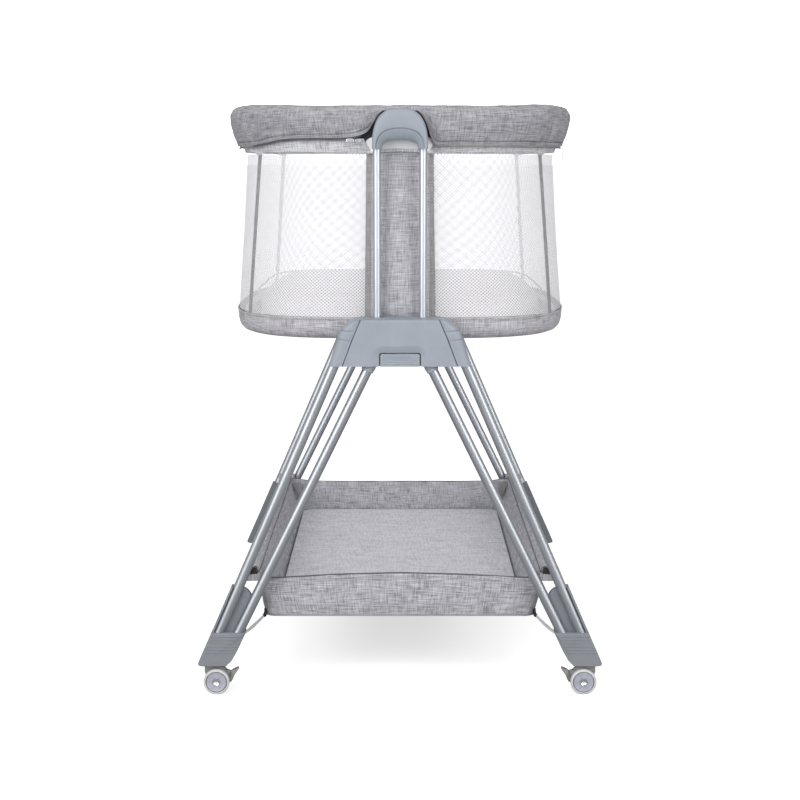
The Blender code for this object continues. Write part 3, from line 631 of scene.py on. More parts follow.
def rim_column(station):
    """Points of the cover from its lip up, over the top, down inside and back under the lining."""
    full = smooth((RIM_HIGH.y - abs(plan_point(station, 0, RIM_OVERHANG, False).y)) / 0.11)

    def lifted(z):
        return z + 0.0042 * full * smooth((z - 0.9) / 0.022)

    low_station, low_z = lip(station)
    rise = 0.9215 - low_z
    run = max(rise, 0.0012)
    heights = (0.0, 0.0008, 0.003, HEM - 0.0006, HEM, HEM + 0.0006, HEM + 0.0022)
    shares = [min(height / run, 1.0) * min(run / 0.012, 1.0) for height in heights]
    shares += [shares[-1] + (1 - shares[-1]) * k / 9 for k in range(1, 10)]
    points = []
    for k, share in enumerate(shares):
        at = low_station + (station - low_station) * share
        z = low_z + rise * share
        grow = eased(RIM_SIDE, z) - 0.0018 * seam_dent(at)
        grow += 0.0007 if k < 4 else -0.0016 if k == 4 else 0.0
        grow += 0.0026 * full * smooth((z - 0.906) / 0.016)
        points.append(plan_point(at, lifted(z), grow, False))
    for grow, z in RIM_CROWN:
        dent = 0.0009 * seam_dent(station) if z > 0.924 else 0.0
        grow += 0.0026 * full * smooth((grow - 0.006) / 0.012)
        points.append(plan_point(station, lifted(z) - dent, grow, False))
    inner_z = max(low_z + 0.0006, 0.905)
    grow = eased(RIM_SIDE, inner_z) - 0.0058
    points.append(plan_point((low_station + station) / 2, min(inner_z, 0.92), grow, False))
    points.append(plan_point(low_station, low_z + 0.0006, eased(RIM_SIDE, low_z) - 0.0024, False))
    return points


def rim_cover():
    """Padded cover over the top frame, cut out around both caps, with the hem's stitches."""
    windows = [(0.0, 0.11, 0.0022), (HALF_PLAN, 0.11, 0.0022)] + [(s, 0.008, 0.0009) for s in SEAMS]
    places = [s for s in stations(windows) if s > 0]
    halves, lines = [], []
    for low, high in ((0.0, HALF_PLAN), (HALF_PLAN, PLAN_LENGTH)):
        inside = [s for s in places if low + 1e-4 < s < high - 1e-4]
        columns = [rim_column(s) for s in [low + 1e-5] + inside + [high - 1e-5]]
        halves.append(grid([list(row) for row in zip(*columns)], ring=True))
        hem = [(at, z + HEM - 0.0016) for at, z in map(lip, inside)]
        lines.append([(plan_point(at, z, eased(RIM_SIDE, z) + 0.0005, False), outward(at))
                      for s, (at, z) in zip(inside, hem) if low + 0.004 < s < high - 0.004 and z < 0.914])
    for seam in SEAMS:
        for offset in (-0.0034, 0.0034):
            lines.append([(plan_point(seam + offset, z, eased(RIM_SIDE, z) + 0.0004, False), outward(seam))
                          for z in spread(RIM_LIP_Z + 0.008, 0.918, 24)])
    made = object_of("rim_cover_fabric", halves)
    bm = bmesh.new()
    bm.from_mesh(made.data)
    bmesh.ops.remove_doubles(bm, verts=bm.verts, dist=0.00025)
    bmesh.ops.recalc_face_normals(bm, faces=bm.faces)
    bm.to_mesh(made.data)
    bm.free()
    ripple(made, 0.0011, (0.055, 0.055, 0.02), 3.0, lambda co: smooth((co.z - 0.88) / 0.012))
    ripple(made, 0.0007, (0.02, 0.02, 0.012), 8.0, lambda co: smooth((co.z - 0.878) / 0.012))
    dress(made, "rim", "basin", ["rim_cover"], sharp=60)
    piece("rim_cover_stitches", stitches(lines, width=0.0006), "thread", "basin")


# ---- Zip ----

def zip_tapes():
    """The closed and open runs of the zip under the cover, and the dark linings behind the caps."""
    section = ((-0.004, 0.0012), (-0.004, -0.0012), (-0.0022, -0.0024), (0.0004, -0.0027), (0.002, -0.0018),
               (0.0022, 0.0004))
    open_from = PLAN_LENGTH - 0.262
    runs = ((0.05, HALF_PLAN - 0.05), (HALF_PLAN + 0.05, open_from), (open_from, PLAN_LENGTH - 0.06))
    for k, (low, high) in enumerate(runs):
        line = [lip(s) for s in [low] + [s for s in stations() if low < s < high] + [high]]
        rows = [[plan_point(at, z + rise, eased(RIM_SIDE, z) + grow - 0.0022, False) for at, z in line]
                for grow, rise in section]
        piece(f"zip_tape_{k}", grid(rows), "zip_tape" if k == 2 else "binding", "basin")
    for end_name, center in (("front", 0.0), ("rear", HALF_PLAN)):
        rows = [[plan_point(center + u, z, 0.0039, False) for u in spread(-0.075, 0.075, 24)]
                for z in spread(0.864, 0.913, 8)]
        piece(f"{end_name}_dark_lining", grid(rows), "zip_tape", "basin")


def lay_at(middle, y):
    """A placement for plates that stand in the XZ plane around a middle."""
    return lambda u, v, w: Vector((middle.x + u, y + w, middle.z + v))


def pull(name, body, outline, depth, place, holes):
    """A zip pull in place of its CAD node, with holes from (start, end, radius)."""
    made = object_of(name, [plate(outline, (0.0, depth), place, 0.0012, 0.0005)])
    carve(made, [rod(start, end, radius, 16) for start, end, radius in holes])
    dress(made, "zip_metal", body, [body])


def sliders_and_pulls():
    """The zip's slider and pull at the front, and the clasps and the hanging pull at the sides."""
    low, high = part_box("front_zip_slider")
    middle = (low + high) / 2
    half = high.x - middle.x
    lay = lay_at(middle, low.y)
    body = ((-half, -0.003), (-half, 0.003), (0.001, 0.0038), (half, 0.0026), (half, -0.0026),
            (0.001, -0.0038))
    bridge = ((-half * 0.5, -0.0011), (-half * 0.5, 0.0011), (half * 0.9, 0.0011), (half * 0.9, -0.0011))
    piece("zip_slider", [plate(body, (0.0006, high.y - low.y), lay, 0.0015, 0.0008),
                         plate(bridge, (-0.0008, 0.0012), lay, 0.0006, 0.0004)],
          "zip_metal", "basin", ["front_zip_slider"])

    low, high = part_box("front_zip_pull")
    middle = (low + high) / 2
    half = high.x - middle.x
    outline = ((-half, -0.0021), (-half, 0.0021), (-0.003, 0.0029), (half - 0.001, 0.0029), (half, 0.0),
               (half - 0.001, -0.0029), (-0.003, -0.0029))
    holes = [((x, low.y - 0.002, middle.z), (x, high.y + 0.002, middle.z), radius)
             for x, radius in ((middle.x - half + 0.0026, 0.0011), (middle.x + half - 0.0034, 0.0014))]
    pull("zip_pull", "front_zip_pull", outline, high.y - low.y, lay_at(middle, low.y), holes)

    low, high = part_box("side_zip_pull")
    middle = (low + high) / 2
    tip = low.z - high.z
    outline = ((-0.0019, 0.0), (0.0019, 0.0), (0.0029, -0.004), (0.0029, tip + 0.002), (0.0, tip),
               (-0.0029, tip + 0.002), (-0.0029, -0.004))
    hole = Vector((middle.x, middle.y, low.z + 0.0042))
    reach = Vector((0.003, 0, 0))
    place = lambda u, v, w: Vector((low.x + w, middle.y + u, high.z + v))
    pull("side_pull", "side_zip_pull", outline, high.x - low.x, place, [(hole - reach, hole + reach, 0.0014)])
    outline = ((-0.005, -0.0022), (-0.005, 0.0022), (0.005, 0.003), (0.0062, 0.0), (0.005, -0.003))
    parts = []
    for side in (-1, 1):
        def clasp(u, v, w, side=side):
            return Vector((side * (low.x - 0.0006 + w * 0.8), middle.y + u, high.z + v))
        parts.append(plate(outline, (-0.006, -0.001), clasp, 0.0014, 0.0008))
    piece("side_zip_sliders", parts, "zip_metal", "basin")


# ---- Walls of the basin ----

def band_top(station):
    """Highest point of the band under the rim: it drops away towards the caps."""
    away = min(station, abs(station - HALF_PLAN), PLAN_LENGTH - station)
    return 0.86 + 0.024 * smooth((away - 0.041) / 0.02)


def wall_strip(center, half_width, low_z, high_z, proud, name, waver=0.0003):
    """A raised binding tape that runs up the wall at one station."""
    section = ((-1.0, -0.3), (-0.96, 0.55), (-0.7, 0.9), (-0.25, 1.0), (0.25, 1.0), (0.7, 0.9), (0.96, 0.55),
               (1.0, -0.3))
    rows = []
    for z in spread(low_z, high_z, 60):
        wobble = waver * noise.noise(Vector((center * 50, z * 55, 1.5)))
        width = half_width * (1 + 0.1 * noise.noise(Vector((center * 31, z * 70, 7.0))))
        at = center + wobble
        rows.append([plan_point(at + width * u, z, proud * rise + wobble) for u, rise in section])
    piece(name, grid(rows), "binding", "basin", sharp=70)


def mesh_wall():
    """The net, the bound seams between its windows and the cloth band that joins it to the rim."""
    places = stations([(s, 0.006, 0.0012) for s in SEAMS] + [(s, 0.07, 0.0016) for s in (0.0, HALF_PLAN)])
    heights = spread(WALL_FOOT[2] + 0.0006, WALL_TOP[2] - 0.001, 22)
    tall = heights[-1] - heights[0]
    rows = []
    for z in heights:
        belly = 0.0012 * math.sin(math.pi * (z - heights[0]) / tall)
        rows.append([plan_point(s, z, -0.0006 - belly * (1 - min(seam_dent(s, 0.012), 1.0))) for s in places])
    made = piece("mesh_wall_net", grid(rows, wrap=True), "net", "basin", ["mesh_wall"], sharp=80)

    section = ((0.006, 0.88), (0.0078, 0.8765), (0.0078, 0.8725), (0.0062, 0.868), (0.0046, 0.864),
               (0.0034, 0.8608), (0.0032, 0.859), (0.0026, 0.8582), (0.0012, 0.8584), (0.0012, 0.861),
               (0.0018, 0.866), (0.003, 0.872), (0.003, 0.879))
    rows = [[plan_point(s, min(z, band_top(s)) - 0.0045 * seam_dent(s, 0.016) * (z < 0.864),
                        grow - 0.0005 * seam_dent(s), False) for s in places] for grow, z in section]
    made = object_of("rim_band", [grid(rows, wrap=True, ring=True)])
    ripple(made, 0.0006, (0.03, 0.03, 0.012), 5.0)
    dress(made, "band", "basin", sharp=60)
    line = [(plan_point(s, 0.8606, 0.0038, False), outward(s)) for s in places]
    piece("rim_band_stitches", stitches([line]), "thread", "basin")
    for k, seam in enumerate(SEAMS):
        wall_strip(seam, SEAM_TAPE_HALF, WALL_FOOT[2] - 0.001, WALL_TOP[2] + 0.002, 0.0016,
                   f"corner_seam_{k}")


def lower_band():
    """Cloth band and floor under the net."""
    section = ((0.0003, 0.599), (0.0009, 0.5994), (0.0014, 0.5989), (0.0015, 0.5968), (0.0006, 0.596),
               (0.001, 0.59), (0.0004, 0.583), (-0.001, 0.577), (-0.0032, 0.5715), (-0.007, 0.5675),
               (-0.0125, 0.5652), (-0.019, 0.5643), (-0.028, BAND_BOTTOM_Z), (-0.05, BAND_BOTTOM_Z))
    places = stations([(s, 0.006, 0.0012) for s in SEAMS])

    def at_foot(station, grow, z):
        point = plan_point(station, WALL_FOOT[2], grow)
        point.z = z
        return point

    rows = [[at_foot(s, grow - 0.001 * seam_dent(s) * (z > 0.567), z) for s in places]
            for grow, z in section]
    center = Vector((0, 0, BAND_BOTTOM_Z))
    edge = rows[-1]
    rows += [[center + (point - center) * share for point in edge] for share in (0.75, 0.5, 0.25, 0.08)]
    bm = grid(rows, wrap=True)
    bmesh.ops.contextual_create(bm, geom=[e for e in bm.edges if e.is_boundary and e.calc_length() < 0.0012])
    made = object_of("lower_band_fabric", [bm])
    ripple(made, 0.0007, (0.045, 0.045, 0.014), 11.0,
           lambda co: smooth((0.597 - co.z) / 0.005) * smooth((co.z - 0.5641) / 0.004))
    dress(made, "lower", "basin", ["lower_band"], sharp=60)
    lines = [[(at_foot(s, 0.0027, WALL_FOOT[2] - 0.0026), outward(s)) for s in places]]
    for seam in SEAMS:
        for offset in (-0.0032, 0.0032):
            lines.append([(at_foot(seam + offset, grow + 0.0003, z), outward(seam))
                          for grow, z in section[4:9]])
    piece("lower_band_stitches", stitches(lines), "thread", "basin")


def end_panel(name, center):
    """Padded upright panel between the mesh windows, its side bindings and its top strip."""
    half = PANEL_HIGH.x
    low_z, high_z = PANEL_LOW.z, PANEL_HIGH.z
    seam = half - PANEL_BORDER
    rows = []
    for z in spread(low_z, high_z, 64):
        shut = smooth(min(z - low_z, high_z - z) / 0.012)
        high = PANEL_BULGE * (0.55 + 0.45 * shut)
        row = [plan_point(center + u * seam, z, 0.001 + high * (1 - abs(u) ** 1.8))
               for u in (2 * k / 36 - 1 for k in range(37))]
        row += [plan_point(center + u * seam, z, 0.0006) for u in (1.0, 0.5, 0.0, -0.5, -1.0)]
        rows.append(row)
    made = object_of(f"{name}_pad", [grid(rows, wrap=True, ends=True)])
    ripple(made, 0.0008, (0.018, 0.03, 0.045), 3.0 if center else 1.0)
    dress(made, "panel", "basin", [name], sharp=60)
    lines = []
    for k, side in enumerate((-1, 1)):
        wall_strip(center + side * (half - 0.0052), 0.0044, low_z - 0.002, high_z + 0.001, 0.0022,
                   f"{name}_binding_{k}", 0.0002)
        lines.append([(plan_point(center + side * seam, z, 0.0026), outward(center))
                      for z in spread(low_z, high_z, 60)])
    piece(f"{name}_stitches", stitches(lines), "thread", "basin")
    section = ((0.0006, 0.8606), (0.0116, 0.8612), (0.0124, 0.8602), (0.0124, 0.8574), (0.0112, 0.856),
               (0.0006, 0.8552))
    rows = [[plan_point(center + half * 0.94 * u, z + 0.0026 * (1 - u * u), grow * (1 - 0.45 * abs(u) ** 3),
                        False) for u in spread(-1, 1, 36)] for grow, z in section]
    piece(f"{name}_top_strip", grid(rows), "band", "basin")


def mattress():
    """Soft pad on the base board: its own rounded form, swollen by a cloth simulation."""
    low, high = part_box("mattress")

    def outline(grow, z):
        half_x, half_y = high.x - 0.022 + grow, high.y - 0.03 + grow
        return [Vector((*plan_xy(2 * math.pi * i / 240, half_x, half_y, MATTRESS_POWER), z))
                for i in range(240)]

    levels = ((-0.016, low.z + 0.002), (-0.008, low.z + 0.008), (-0.001, low.z + 0.02), (0.0, high.z - 0.022),
              (-0.002, high.z - 0.013), (-0.008, high.z - 0.007))
    made = object_of("mattress_pad", [grid([outline(grow, z) for grow, z in levels], wrap=True, ends=True)])
    remesh = made.modifiers.new("remesh", "REMESH")
    remesh.mode = "VOXEL"
    remesh.voxel_size = 0.006
    apply_modifiers(made)
    swell(made, pressure=4.0, cap=0.006)
    for vertex in made.data.vertices:
        vertex.co.z = min(max(vertex.co.z, low.z + 0.0004), high.z + 0.002)
    ripple(made, 0.0012, (0.06, 0.06, 0.04), 4.0, lambda co: smooth((co.z - low.z - 0.01) / 0.02))
    dress(made, "mattress", "basin", ["mattress"], sharp=80)
    piece("mattress_piping", cord_loop(outline(0, high.z - 0.006), 0.0018), "mattress", "basin")


def swell(made, pressure, cap):
    """Inflate a closed soft body with Cloth, then hold every point within cap of where it started."""
    before = [v.co.copy() for v in made.data.vertices]
    cloth = made.modifiers.new("cloth", "CLOTH")
    cloth.settings.use_pressure = True
    cloth.settings.uniform_pressure_force = pressure
    cloth.settings.effector_weights.gravity = 0.0
    cloth.settings.quality = 5
    scene = bpy.context.scene
    for step in range(1, 21):
        scene.frame_set(step)
    apply_modifiers(made)
    for vertex, start in zip(made.data.vertices, before):
        move = vertex.co - start
        if move.length > cap:
            vertex.co = start + move.normalized() * cap
    scene.frame_set(1)


# ---- Caps, brackets and posts ----

CAP_ARCH = (0.0278, 0.8775)
CAP_CREASE = (0.0372, 0.893)
# Shares of the way from the opening to the crease and on to the outer edge, with depths under the face.
CAP_INSIDE = ((0.05, 0.0112), (0.16, 0.0094), (0.36, 0.007), (0.58, 0.005), (0.8, 0.0034), (0.94, 0.0026))
CAP_OUTSIDE = ((0.0, 0.0031), (0.07, 0.0006), (0.14, 0.0), (0.4, 0.0), (0.62, 0.0003), (0.78, 0.0011),
               (0.9, 0.0026), (0.97, 0.0047), (1.0, 0.0075))


def arch(half_width, top_z, power, steps=64):
    """An arch on the caps' base plane, from its right foot over the crown to its left foot."""
    points = []
    for i in range(steps + 1):
        turn = math.pi * i / steps
        x = math.copysign(abs(math.cos(turn)) ** (2 / power), math.cos(turn)) * half_width
        points.append((x, CAP_LOW.z + (top_z - CAP_LOW.z) * math.sin(turn) ** (2 / power)))
    return points


def mixed_arch(inner, outer, share):
    """An arch part of the way between two others."""
    return [(a[0] + (b[0] - a[0]) * share, a[1] + (b[1] - a[1]) * share) for a, b in zip(inner, outer)]


def cap(end_name, end):
    """Arched cap over one pair of posts."""
    back, face = CAP_LOW.y, CAP_HIGH.y
    opening = arch(*CAP_ARCH, 2.6)
    crease = arch(*CAP_CREASE, 2.5)
    outer = arch(CAP_HIGH.x, CAP_HIGH.z, 2.7)
    section = [(opening, back), (opening, face - 0.0125)]
    section += [(mixed_arch(opening, crease, share), face - depth) for share, depth in CAP_INSIDE]
    section += [(mixed_arch(crease, outer, share), face - depth) for share, depth in CAP_OUTSIDE]
    section += [(outer, back + 0.002), (mixed_arch(crease, outer, 0.93), back)]
    rows = [[Vector((line[i][0], end * y, line[i][1])) for line, y in section] for i in range(len(outer))]
    piece(f"{end_name}_cap_moulding", grid(rows, wrap=True, ends=True), "hub", "basin", [f"{end_name}_cap"],
          sharp=30)


def bracket(end_name, end):
    """Glossy bracket behind the arch of a cap, crowned towards the front."""
    low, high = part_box("rear_frame_bracket")
    outline = ((low.z, 0.045), (0.864, 0.0475), (0.87, 0.0512), (0.8735, 0.0525), (0.877, 0.0515),
               (0.883, 0.04), (0.887, 0.031), (0.892, 0.0282), (high.z, 0.0275))

    def front(x, z):
        lift = math.sin(math.pi * (z - low.z) / (0.9 - low.z)) if z < 0.9 else 0.0
        return end * (high.y - 0.0022 + 0.0022 * lift * (1 - (x / high.x) ** 2))

    body = shield(spread(low.z, high.z, 28), lambda z: eased(outline, z), lambda x, z: end * low.y, front)
    piece(f"{end_name}_bracket_moulding", body, "bracket", "basin", [f"{end_name}_frame_bracket"])


def line_of(node_name):
    """End points and radius of a straight round CAD bar."""
    points = [v.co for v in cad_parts[node_name].data.vertices]
    low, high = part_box(node_name)
    axis = Vector((0, 0, 1))
    for _ in range(4):
        reach = [p.dot(axis) for p in points]
        top = [p for p, r in zip(points, reach) if r > max(reach) - 0.003]
        foot = [p for p, r in zip(points, reach) if r < min(reach) + 0.003]
        ends = []
        for group in (foot, top):
            corners = [[f(p[i] for p in group) for i in range(3)] for f in (min, max)]
            ends.append((Vector(corners[0]) + Vector(corners[1])) / 2)
        axis = (ends[1] - ends[0]).normalized()
    return ends[0], ends[1], (high.y - low.y) / 2


# Steps down the inner leg and how far the collar stands proud of it there.
COLLAR = ((0, 0.0024), (0.009, 0.0022), (0.0098, 0.0016), (0.0106, 0.0019), (0.0132, 0.0017), (0.0138, 0.001))


def posts_and_legs():
    """Bright posts with their lock holes, satin legs and the collars of the inner legs."""
    for corner, _, side in CORNERS:
        foot, head, radius = line_of(f"{corner}_post")
        body = object_of(f"{corner}_post_tube", [rod(foot, head, radius, 40)])
        pin_low, pin_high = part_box(f"{corner}_lock_pin")
        holes = []
        for step in range(LOCK_HOLE_COUNT):
            z = (pin_low.z + pin_high.z) / 2 + LOCK_HOLE_PITCH * step
            start, stop = [(foot.x - side * reach, foot.y, z) for reach in (0.008, 0.002)]
            holes.append(rod(start, stop, 0.0031, 20))
        carve(body, holes)
        dress(body, "post", "basin", [f"{corner}_post"])
        for leg in ("outer_leg", "inner_leg"):
            foot, head, radius = line_of(f"{corner}_{leg}")
            piece(f"{corner}_{leg}_tube", rod(foot, head, radius, 40), "leg", "stand", [f"{corner}_{leg}"])
        along = (foot - head).normalized()
        start = head + along * ((head.z - HUB_BOTTOM_Z - 0.004) / -along.z)
        profile = [(step, radius + proud) for step, proud in COLLAR]
        piece(f"{corner}_leg_collar", lathe(profile, start, along, 40), "hub", "stand")


# ---- Hubs ----

# Pairs of points of a hub's half, at its outer edge and at the parting line, from the bottom up.
SLEEVE = (((0.112, 0.529), (0.0896, 0.529)), ((0.1053, 0.55), (0.082, 0.5486)),
          ((0.0985, 0.571), (0.0748, 0.568)), ((0.0942, 0.5815), (0.0702, 0.579)),
          ((0.086, 0.5915), (0.0658, 0.5895)), ((0.0745, 0.5995), (0.0622, 0.5978)),
          ((0.0605, 0.603), (0.0603, 0.6012)), ((0.03, 0.603), (0.03, 0.6012)),
          ((0.0, 0.603), (0.0, 0.6012)))
# The rim's section: share of the way from the outer edge to the parting line, and depth under the face.
SLEEVE_SECTION = ((0.3, -1.0), (0.06, -1.0), (0.01, -0.97), (0.0, -0.9), (0.0, 0.011), (0.012, 0.0085),
                  (0.05, 0.006), (0.12, 0.0038), (0.22, 0.002), (0.36, 0.0007), (0.52, 0.0002), (0.7, 0.0004),
                  (0.86, 0.0009), (0.95, 0.0016), (1.0, 0.0042))
SLEEVE_SEAMS = (0.571, 0.5845)


def sleeve_path(steps=150):
    """Outer and inner points along a whole hub, from its left foot over the top to its right foot."""
    measures = running([(*outer, 0) for outer, _ in SLEEVE], False)
    curves = [[(at, pair[k][axis]) for at, pair in zip(measures, SLEEVE)] for k in (0, 1) for axis in (0, 1)]
    half = []
    for at in spread(0.0, measures[-1], steps):
        values = [eased(curve, at) for curve in curves]
        half.append((Vector(values[0:2]), Vector(values[2:4])))
    left = [(Vector((-a.x, a.y)), Vector((-b.x, b.y))) for a, b in half]
    return left + list(reversed(half[:-1]))


def button_gap(low_z, depth, end, corner):
    """The body that a release button's opening is cut with."""
    half, top = BUTTON_HIGH.x + BUTTON_CLEARANCE, BUTTON_HIGH.z + BUTTON_CLEARANCE
    outline = ((-half, low_z), (-half, top), (half, top), (half, low_z))
    return plate(outline, depth, facing(end), corner, 0.0002)


def hub(end_name, end):
    """Moulded hub: sleeves over the outer legs, a bevelled crown and the pocket of the button."""
    back, face = HUB_LOW.y, COVER_HIGH.y - 0.0004
    rows = []
    path = sleeve_path()
    for share, depth in SLEEVE_SECTION:
        row = []
        for outer, inner in path:
            tuck = 0.0 if share > 0.93 else 0.0007 * smooth((SLEEVE_SEAMS[0] - outer.y) / 0.0012)
            tuck += sum(0.001 * math.exp(-((outer.y - z) / 0.0009) ** 2)
                        for z in SLEEVE_SEAMS) * (share < 0.93)
            point = outer + (inner - outer) * share
            if share < 0.5:
                point.x -= math.copysign(tuck, point.x)
            y = back + (1 + depth) * 0.05 if depth < 0 else face - depth - tuck
            row.append(Vector((point.x, end * y, point.y)))
        rows.append(row)
    body = object_of(f"{end_name}_hub_moulding", [grid(rows, wrap=True, ends=True)])
    low = HUB_BOTTOM_Z - 0.012
    cutters = [button_gap(low, (BUTTON_HIGH.y - 0.0102, face + 0.004), end, 0.003)]
    for side_name, _ in SIDES:
        foot, _, radius = line_of(f"{end_name}_{side_name}_post")
        cutters.append(rod((foot.x, foot.y, low), (foot.x, foot.y, HUB_HIGH.z + 0.01), radius + 0.0006, 32))
    carve(body, cutters)
    dress(body, "hub", "stand", [f"{end_name}_hub"], sharp=32)


def scoop(x, z):
    """How deep the soft scoop around a release button is."""
    corner = 0.005
    dx = max(abs(x) - BUTTON_HIGH.x + corner, 0.0)
    dz = max(z - BUTTON_HIGH.z + corner, 0.0)
    away = math.hypot(dx, dz) - corner
    return 0.0042 * (1 - min(max(away, 0.0) / 0.0125, 1.0)) ** 1.1


def hub_cover(end_name, end):
    """Face plate with its soft scoop and a notch for the button."""
    low, high = COVER_LOW, COVER_HIGH
    outline = ((low.z, high.x - 0.0002), (0.565, 0.0756), (0.58, 0.0695), (0.6, 0.061), (high.z, 0.0598))

    def half_width(z):
        return eased(outline, z) - 0.0012 * max(1 - max(high.z - z, 0.0) / 0.0012, 0.0)

    def front(x, z):
        edge = min(half_width(z) - abs(x), high.z - z)
        bevel = 0.001 * max(1 - edge / 0.0009, 0.0) ** 2 + 0.0022 * max(1 - (high.z - z) / 0.0045, 0.0) ** 2
        return end * (high.y - bevel - scoop(x, z))

    heights = spread(low.z, high.z - 0.006, 52) + spread(high.z - 0.0055, high.z, 12)
    body = object_of(f"{end_name}_cover_moulding",
                     [shield(heights, half_width, lambda x, z: end * low.y, front, 110)])
    carve(body, [button_gap(low.z - 0.01, (low.y - 0.004, high.y + 0.004), end, 0.0035)])
    dress(body, "hub", "stand", [f"{end_name}_hub_cover"], sharp=32)


def release_button(end_name, end):
    """Press-in button: hollowed face with ribs for the finger."""
    low, high = BUTTON_LOW, BUTTON_HIGH
    deep = high.y - 0.006

    def half_width(z):
        corner = max(z - high.z + 0.003, 0.0)
        return high.x - 0.003 + math.sqrt(max(0.003**2 - corner**2, 0.0))

    def front(x, z):
        hollow = 0.0012 * (1 - (x / high.x) ** 2) * math.sin(math.pi * (z - low.z) / (high.z - low.z))
        ribs = 0.0006 * max(math.cos(2 * math.pi * (z - low.z - 0.004) / 0.0036), 0.0) ** 2
        ribs *= smooth((high.x - 0.002 - abs(x)) / 0.002) * (low.z + 0.0015 < z < high.z - 0.003)
        edge = min(half_width(z) - abs(x), high.z - z, z - low.z)
        return end * (high.y - hollow + ribs - 0.0006 - 0.0009 * max(1 - edge / 0.0009, 0.0) ** 2)

    face = shield(spread(low.z, high.z, 72), half_width, lambda x, z: end * deep, front, 40)
    foot_z, head_z = low.z + 0.003, high.z - 0.0026
    outline = ((-0.02, foot_z), (-0.02, head_z), (0.02, head_z), (0.02, foot_z))
    block = plate(outline, (low.y, deep + 0.001), facing(end), 0.001, 0.0005)
    piece(f"{end_name}_button_moulding", [face, block], "hub", f"{end_name}_button",
          [f"{end_name}_release_button"], sharp=32)


# ---- Feet ----

# Outlines of a foot: x outwards and z up, for one side.
FOOT_BLOCK = ((0.3008, 0.1008), (0.323, 0.0505), (0.3215, 0.0475), (0.316, 0.0463), (0.278, 0.0463),
              (0.269, 0.055), (0.259, 0.073), (0.246, 0.1008))
FOOT_PLATE = ((0.268, 0.176), (0.3005, 0.101), (0.306, 0.08), (0.27, 0.08), (0.253, 0.105),
              (0.233, 0.148), (0.2372, 0.159), (0.2405, 0.1655), (0.248, 0.1715))
FOOT_FLANGE = ((0.268, 0.176), (0.307, 0.086), (0.303, 0.086), (0.265, 0.1745))


def crossing(outline, z):
    """Lowest and highest x where an outline crosses a height."""
    found = []
    for a, b in zip(outline, outline[1:] + outline[:1]):
        if (a[1] - z) * (b[1] - z) < 0:
            found.append(a[0] + (b[0] - a[0]) * (z - a[1]) / (b[1] - a[1]))
    return min(found), max(found)


def feet():
    """Moulded feet: block with fine ribs across its face, back plate and outer flange."""
    low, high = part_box("rear_right_foot")
    section = ((-0.0012, -0.0004), (-0.0004, 0.0007), (0.0004, 0.0007), (0.0012, -0.0004))
    for corner, end, side in CORNERS:
        place = facing(end, side)
        parts = [plate(FOOT_BLOCK, (low.y, high.y), place, 0.0022, 0.0016),
                 plate(FOOT_PLATE, (low.y + 0.0045, low.y + 0.015), place, 0.004, 0.0012),
                 plate(FOOT_FLANGE, (low.y + 0.006, high.y - 0.005), place, 0.0012, 0.0009)]
        for z in spread(0.069, 0.0955, 6):
            left, right = crossing(FOOT_BLOCK, z)
            parts.append(grid([[place(x, z + dz, high.y + dy) for dz, dy in section]
                               for x in spread(left + 0.0024, right - 0.0024, 4)]))
        piece(f"{corner}_foot_moulding", parts, "foot", "stand", [f"{corner}_foot"], sharp=30)


# ---- Casters ----

# Depth under the wheel's outer face and radius.
DISC_FACE = ((0.0034, 0.016), (0.001, 0.0158), (0.0003, 0.0152), (0.0008, 0.014), (0.0012, 0.009),
             (0.001, 0.0068), (0.0018, 0.0062), (0.002, 0.003))
SCREW_HEAD = ((0.0022, 0.0056), (0.0006, 0.0056), (0.0, 0.0052), (0.0001, 0.0047), (0.001, 0.0036),
              (0.0018, 0.0024), (0.0022, 0.0012), (0.0023, 0.0004))


def wheels(corner, hub_at, half):
    """Twin wheels on one axle: tyres, discs with spokes and screws."""
    radius = hub_at.z
    inner, rim = 0.0054, 0.0174
    tyre = ((inner, 0.015), (inner, radius - 0.0018), (inner + 0.0007, radius - 0.0006),
            (inner + 0.002, radius), (half - 0.0026, radius), (half - 0.001, radius - 0.0006),
            (half - 0.0002, radius - 0.0018), (half, radius - 0.0028), (half - 0.0003, rim),
            (half - 0.0036, rim - 0.0004), (half - 0.0036, 0.015))
    disc = [(inner + 0.0006, 0.015)] + [(half - back, out) for back, out in DISC_FACE]
    head = [(half - back, out) for back, out in SCREW_HEAD]
    tyres, discs, screws = [], [], []
    for face in (-1, 1):
        axis = Vector((0, face, 0))
        tyres.append(lathe(tyre, hub_at, axis, 72))
        discs.append(lathe(disc, hub_at, axis, 64))
        screws.append(lathe(head, hub_at, axis, 32))
        for k in range(6):
            out = Vector((math.cos(math.pi * k / 3), 0, math.sin(math.pi * k / 3)))
            start = hub_at + axis * (half - 0.0008)
            spoke = [start + out * r for r in spread(0.0072, 0.0138, 4)]
            discs.append(ribbon(spoke, [axis] * 4, 0.001, 0.0008))
    reach = Vector((0, half - 0.003, 0))
    screws.append(rod(hub_at - reach, hub_at + reach, 0.003, 24))
    piece(f"{corner}_tyres", tyres, "tyre", f"{corner}_wheel", [f"{corner}_caster_wheel"])
    piece(f"{corner}_discs", discs, "disc", f"{corner}_wheel")
    piece(f"{corner}_screws", screws, "zip_metal", f"{corner}_wheel")


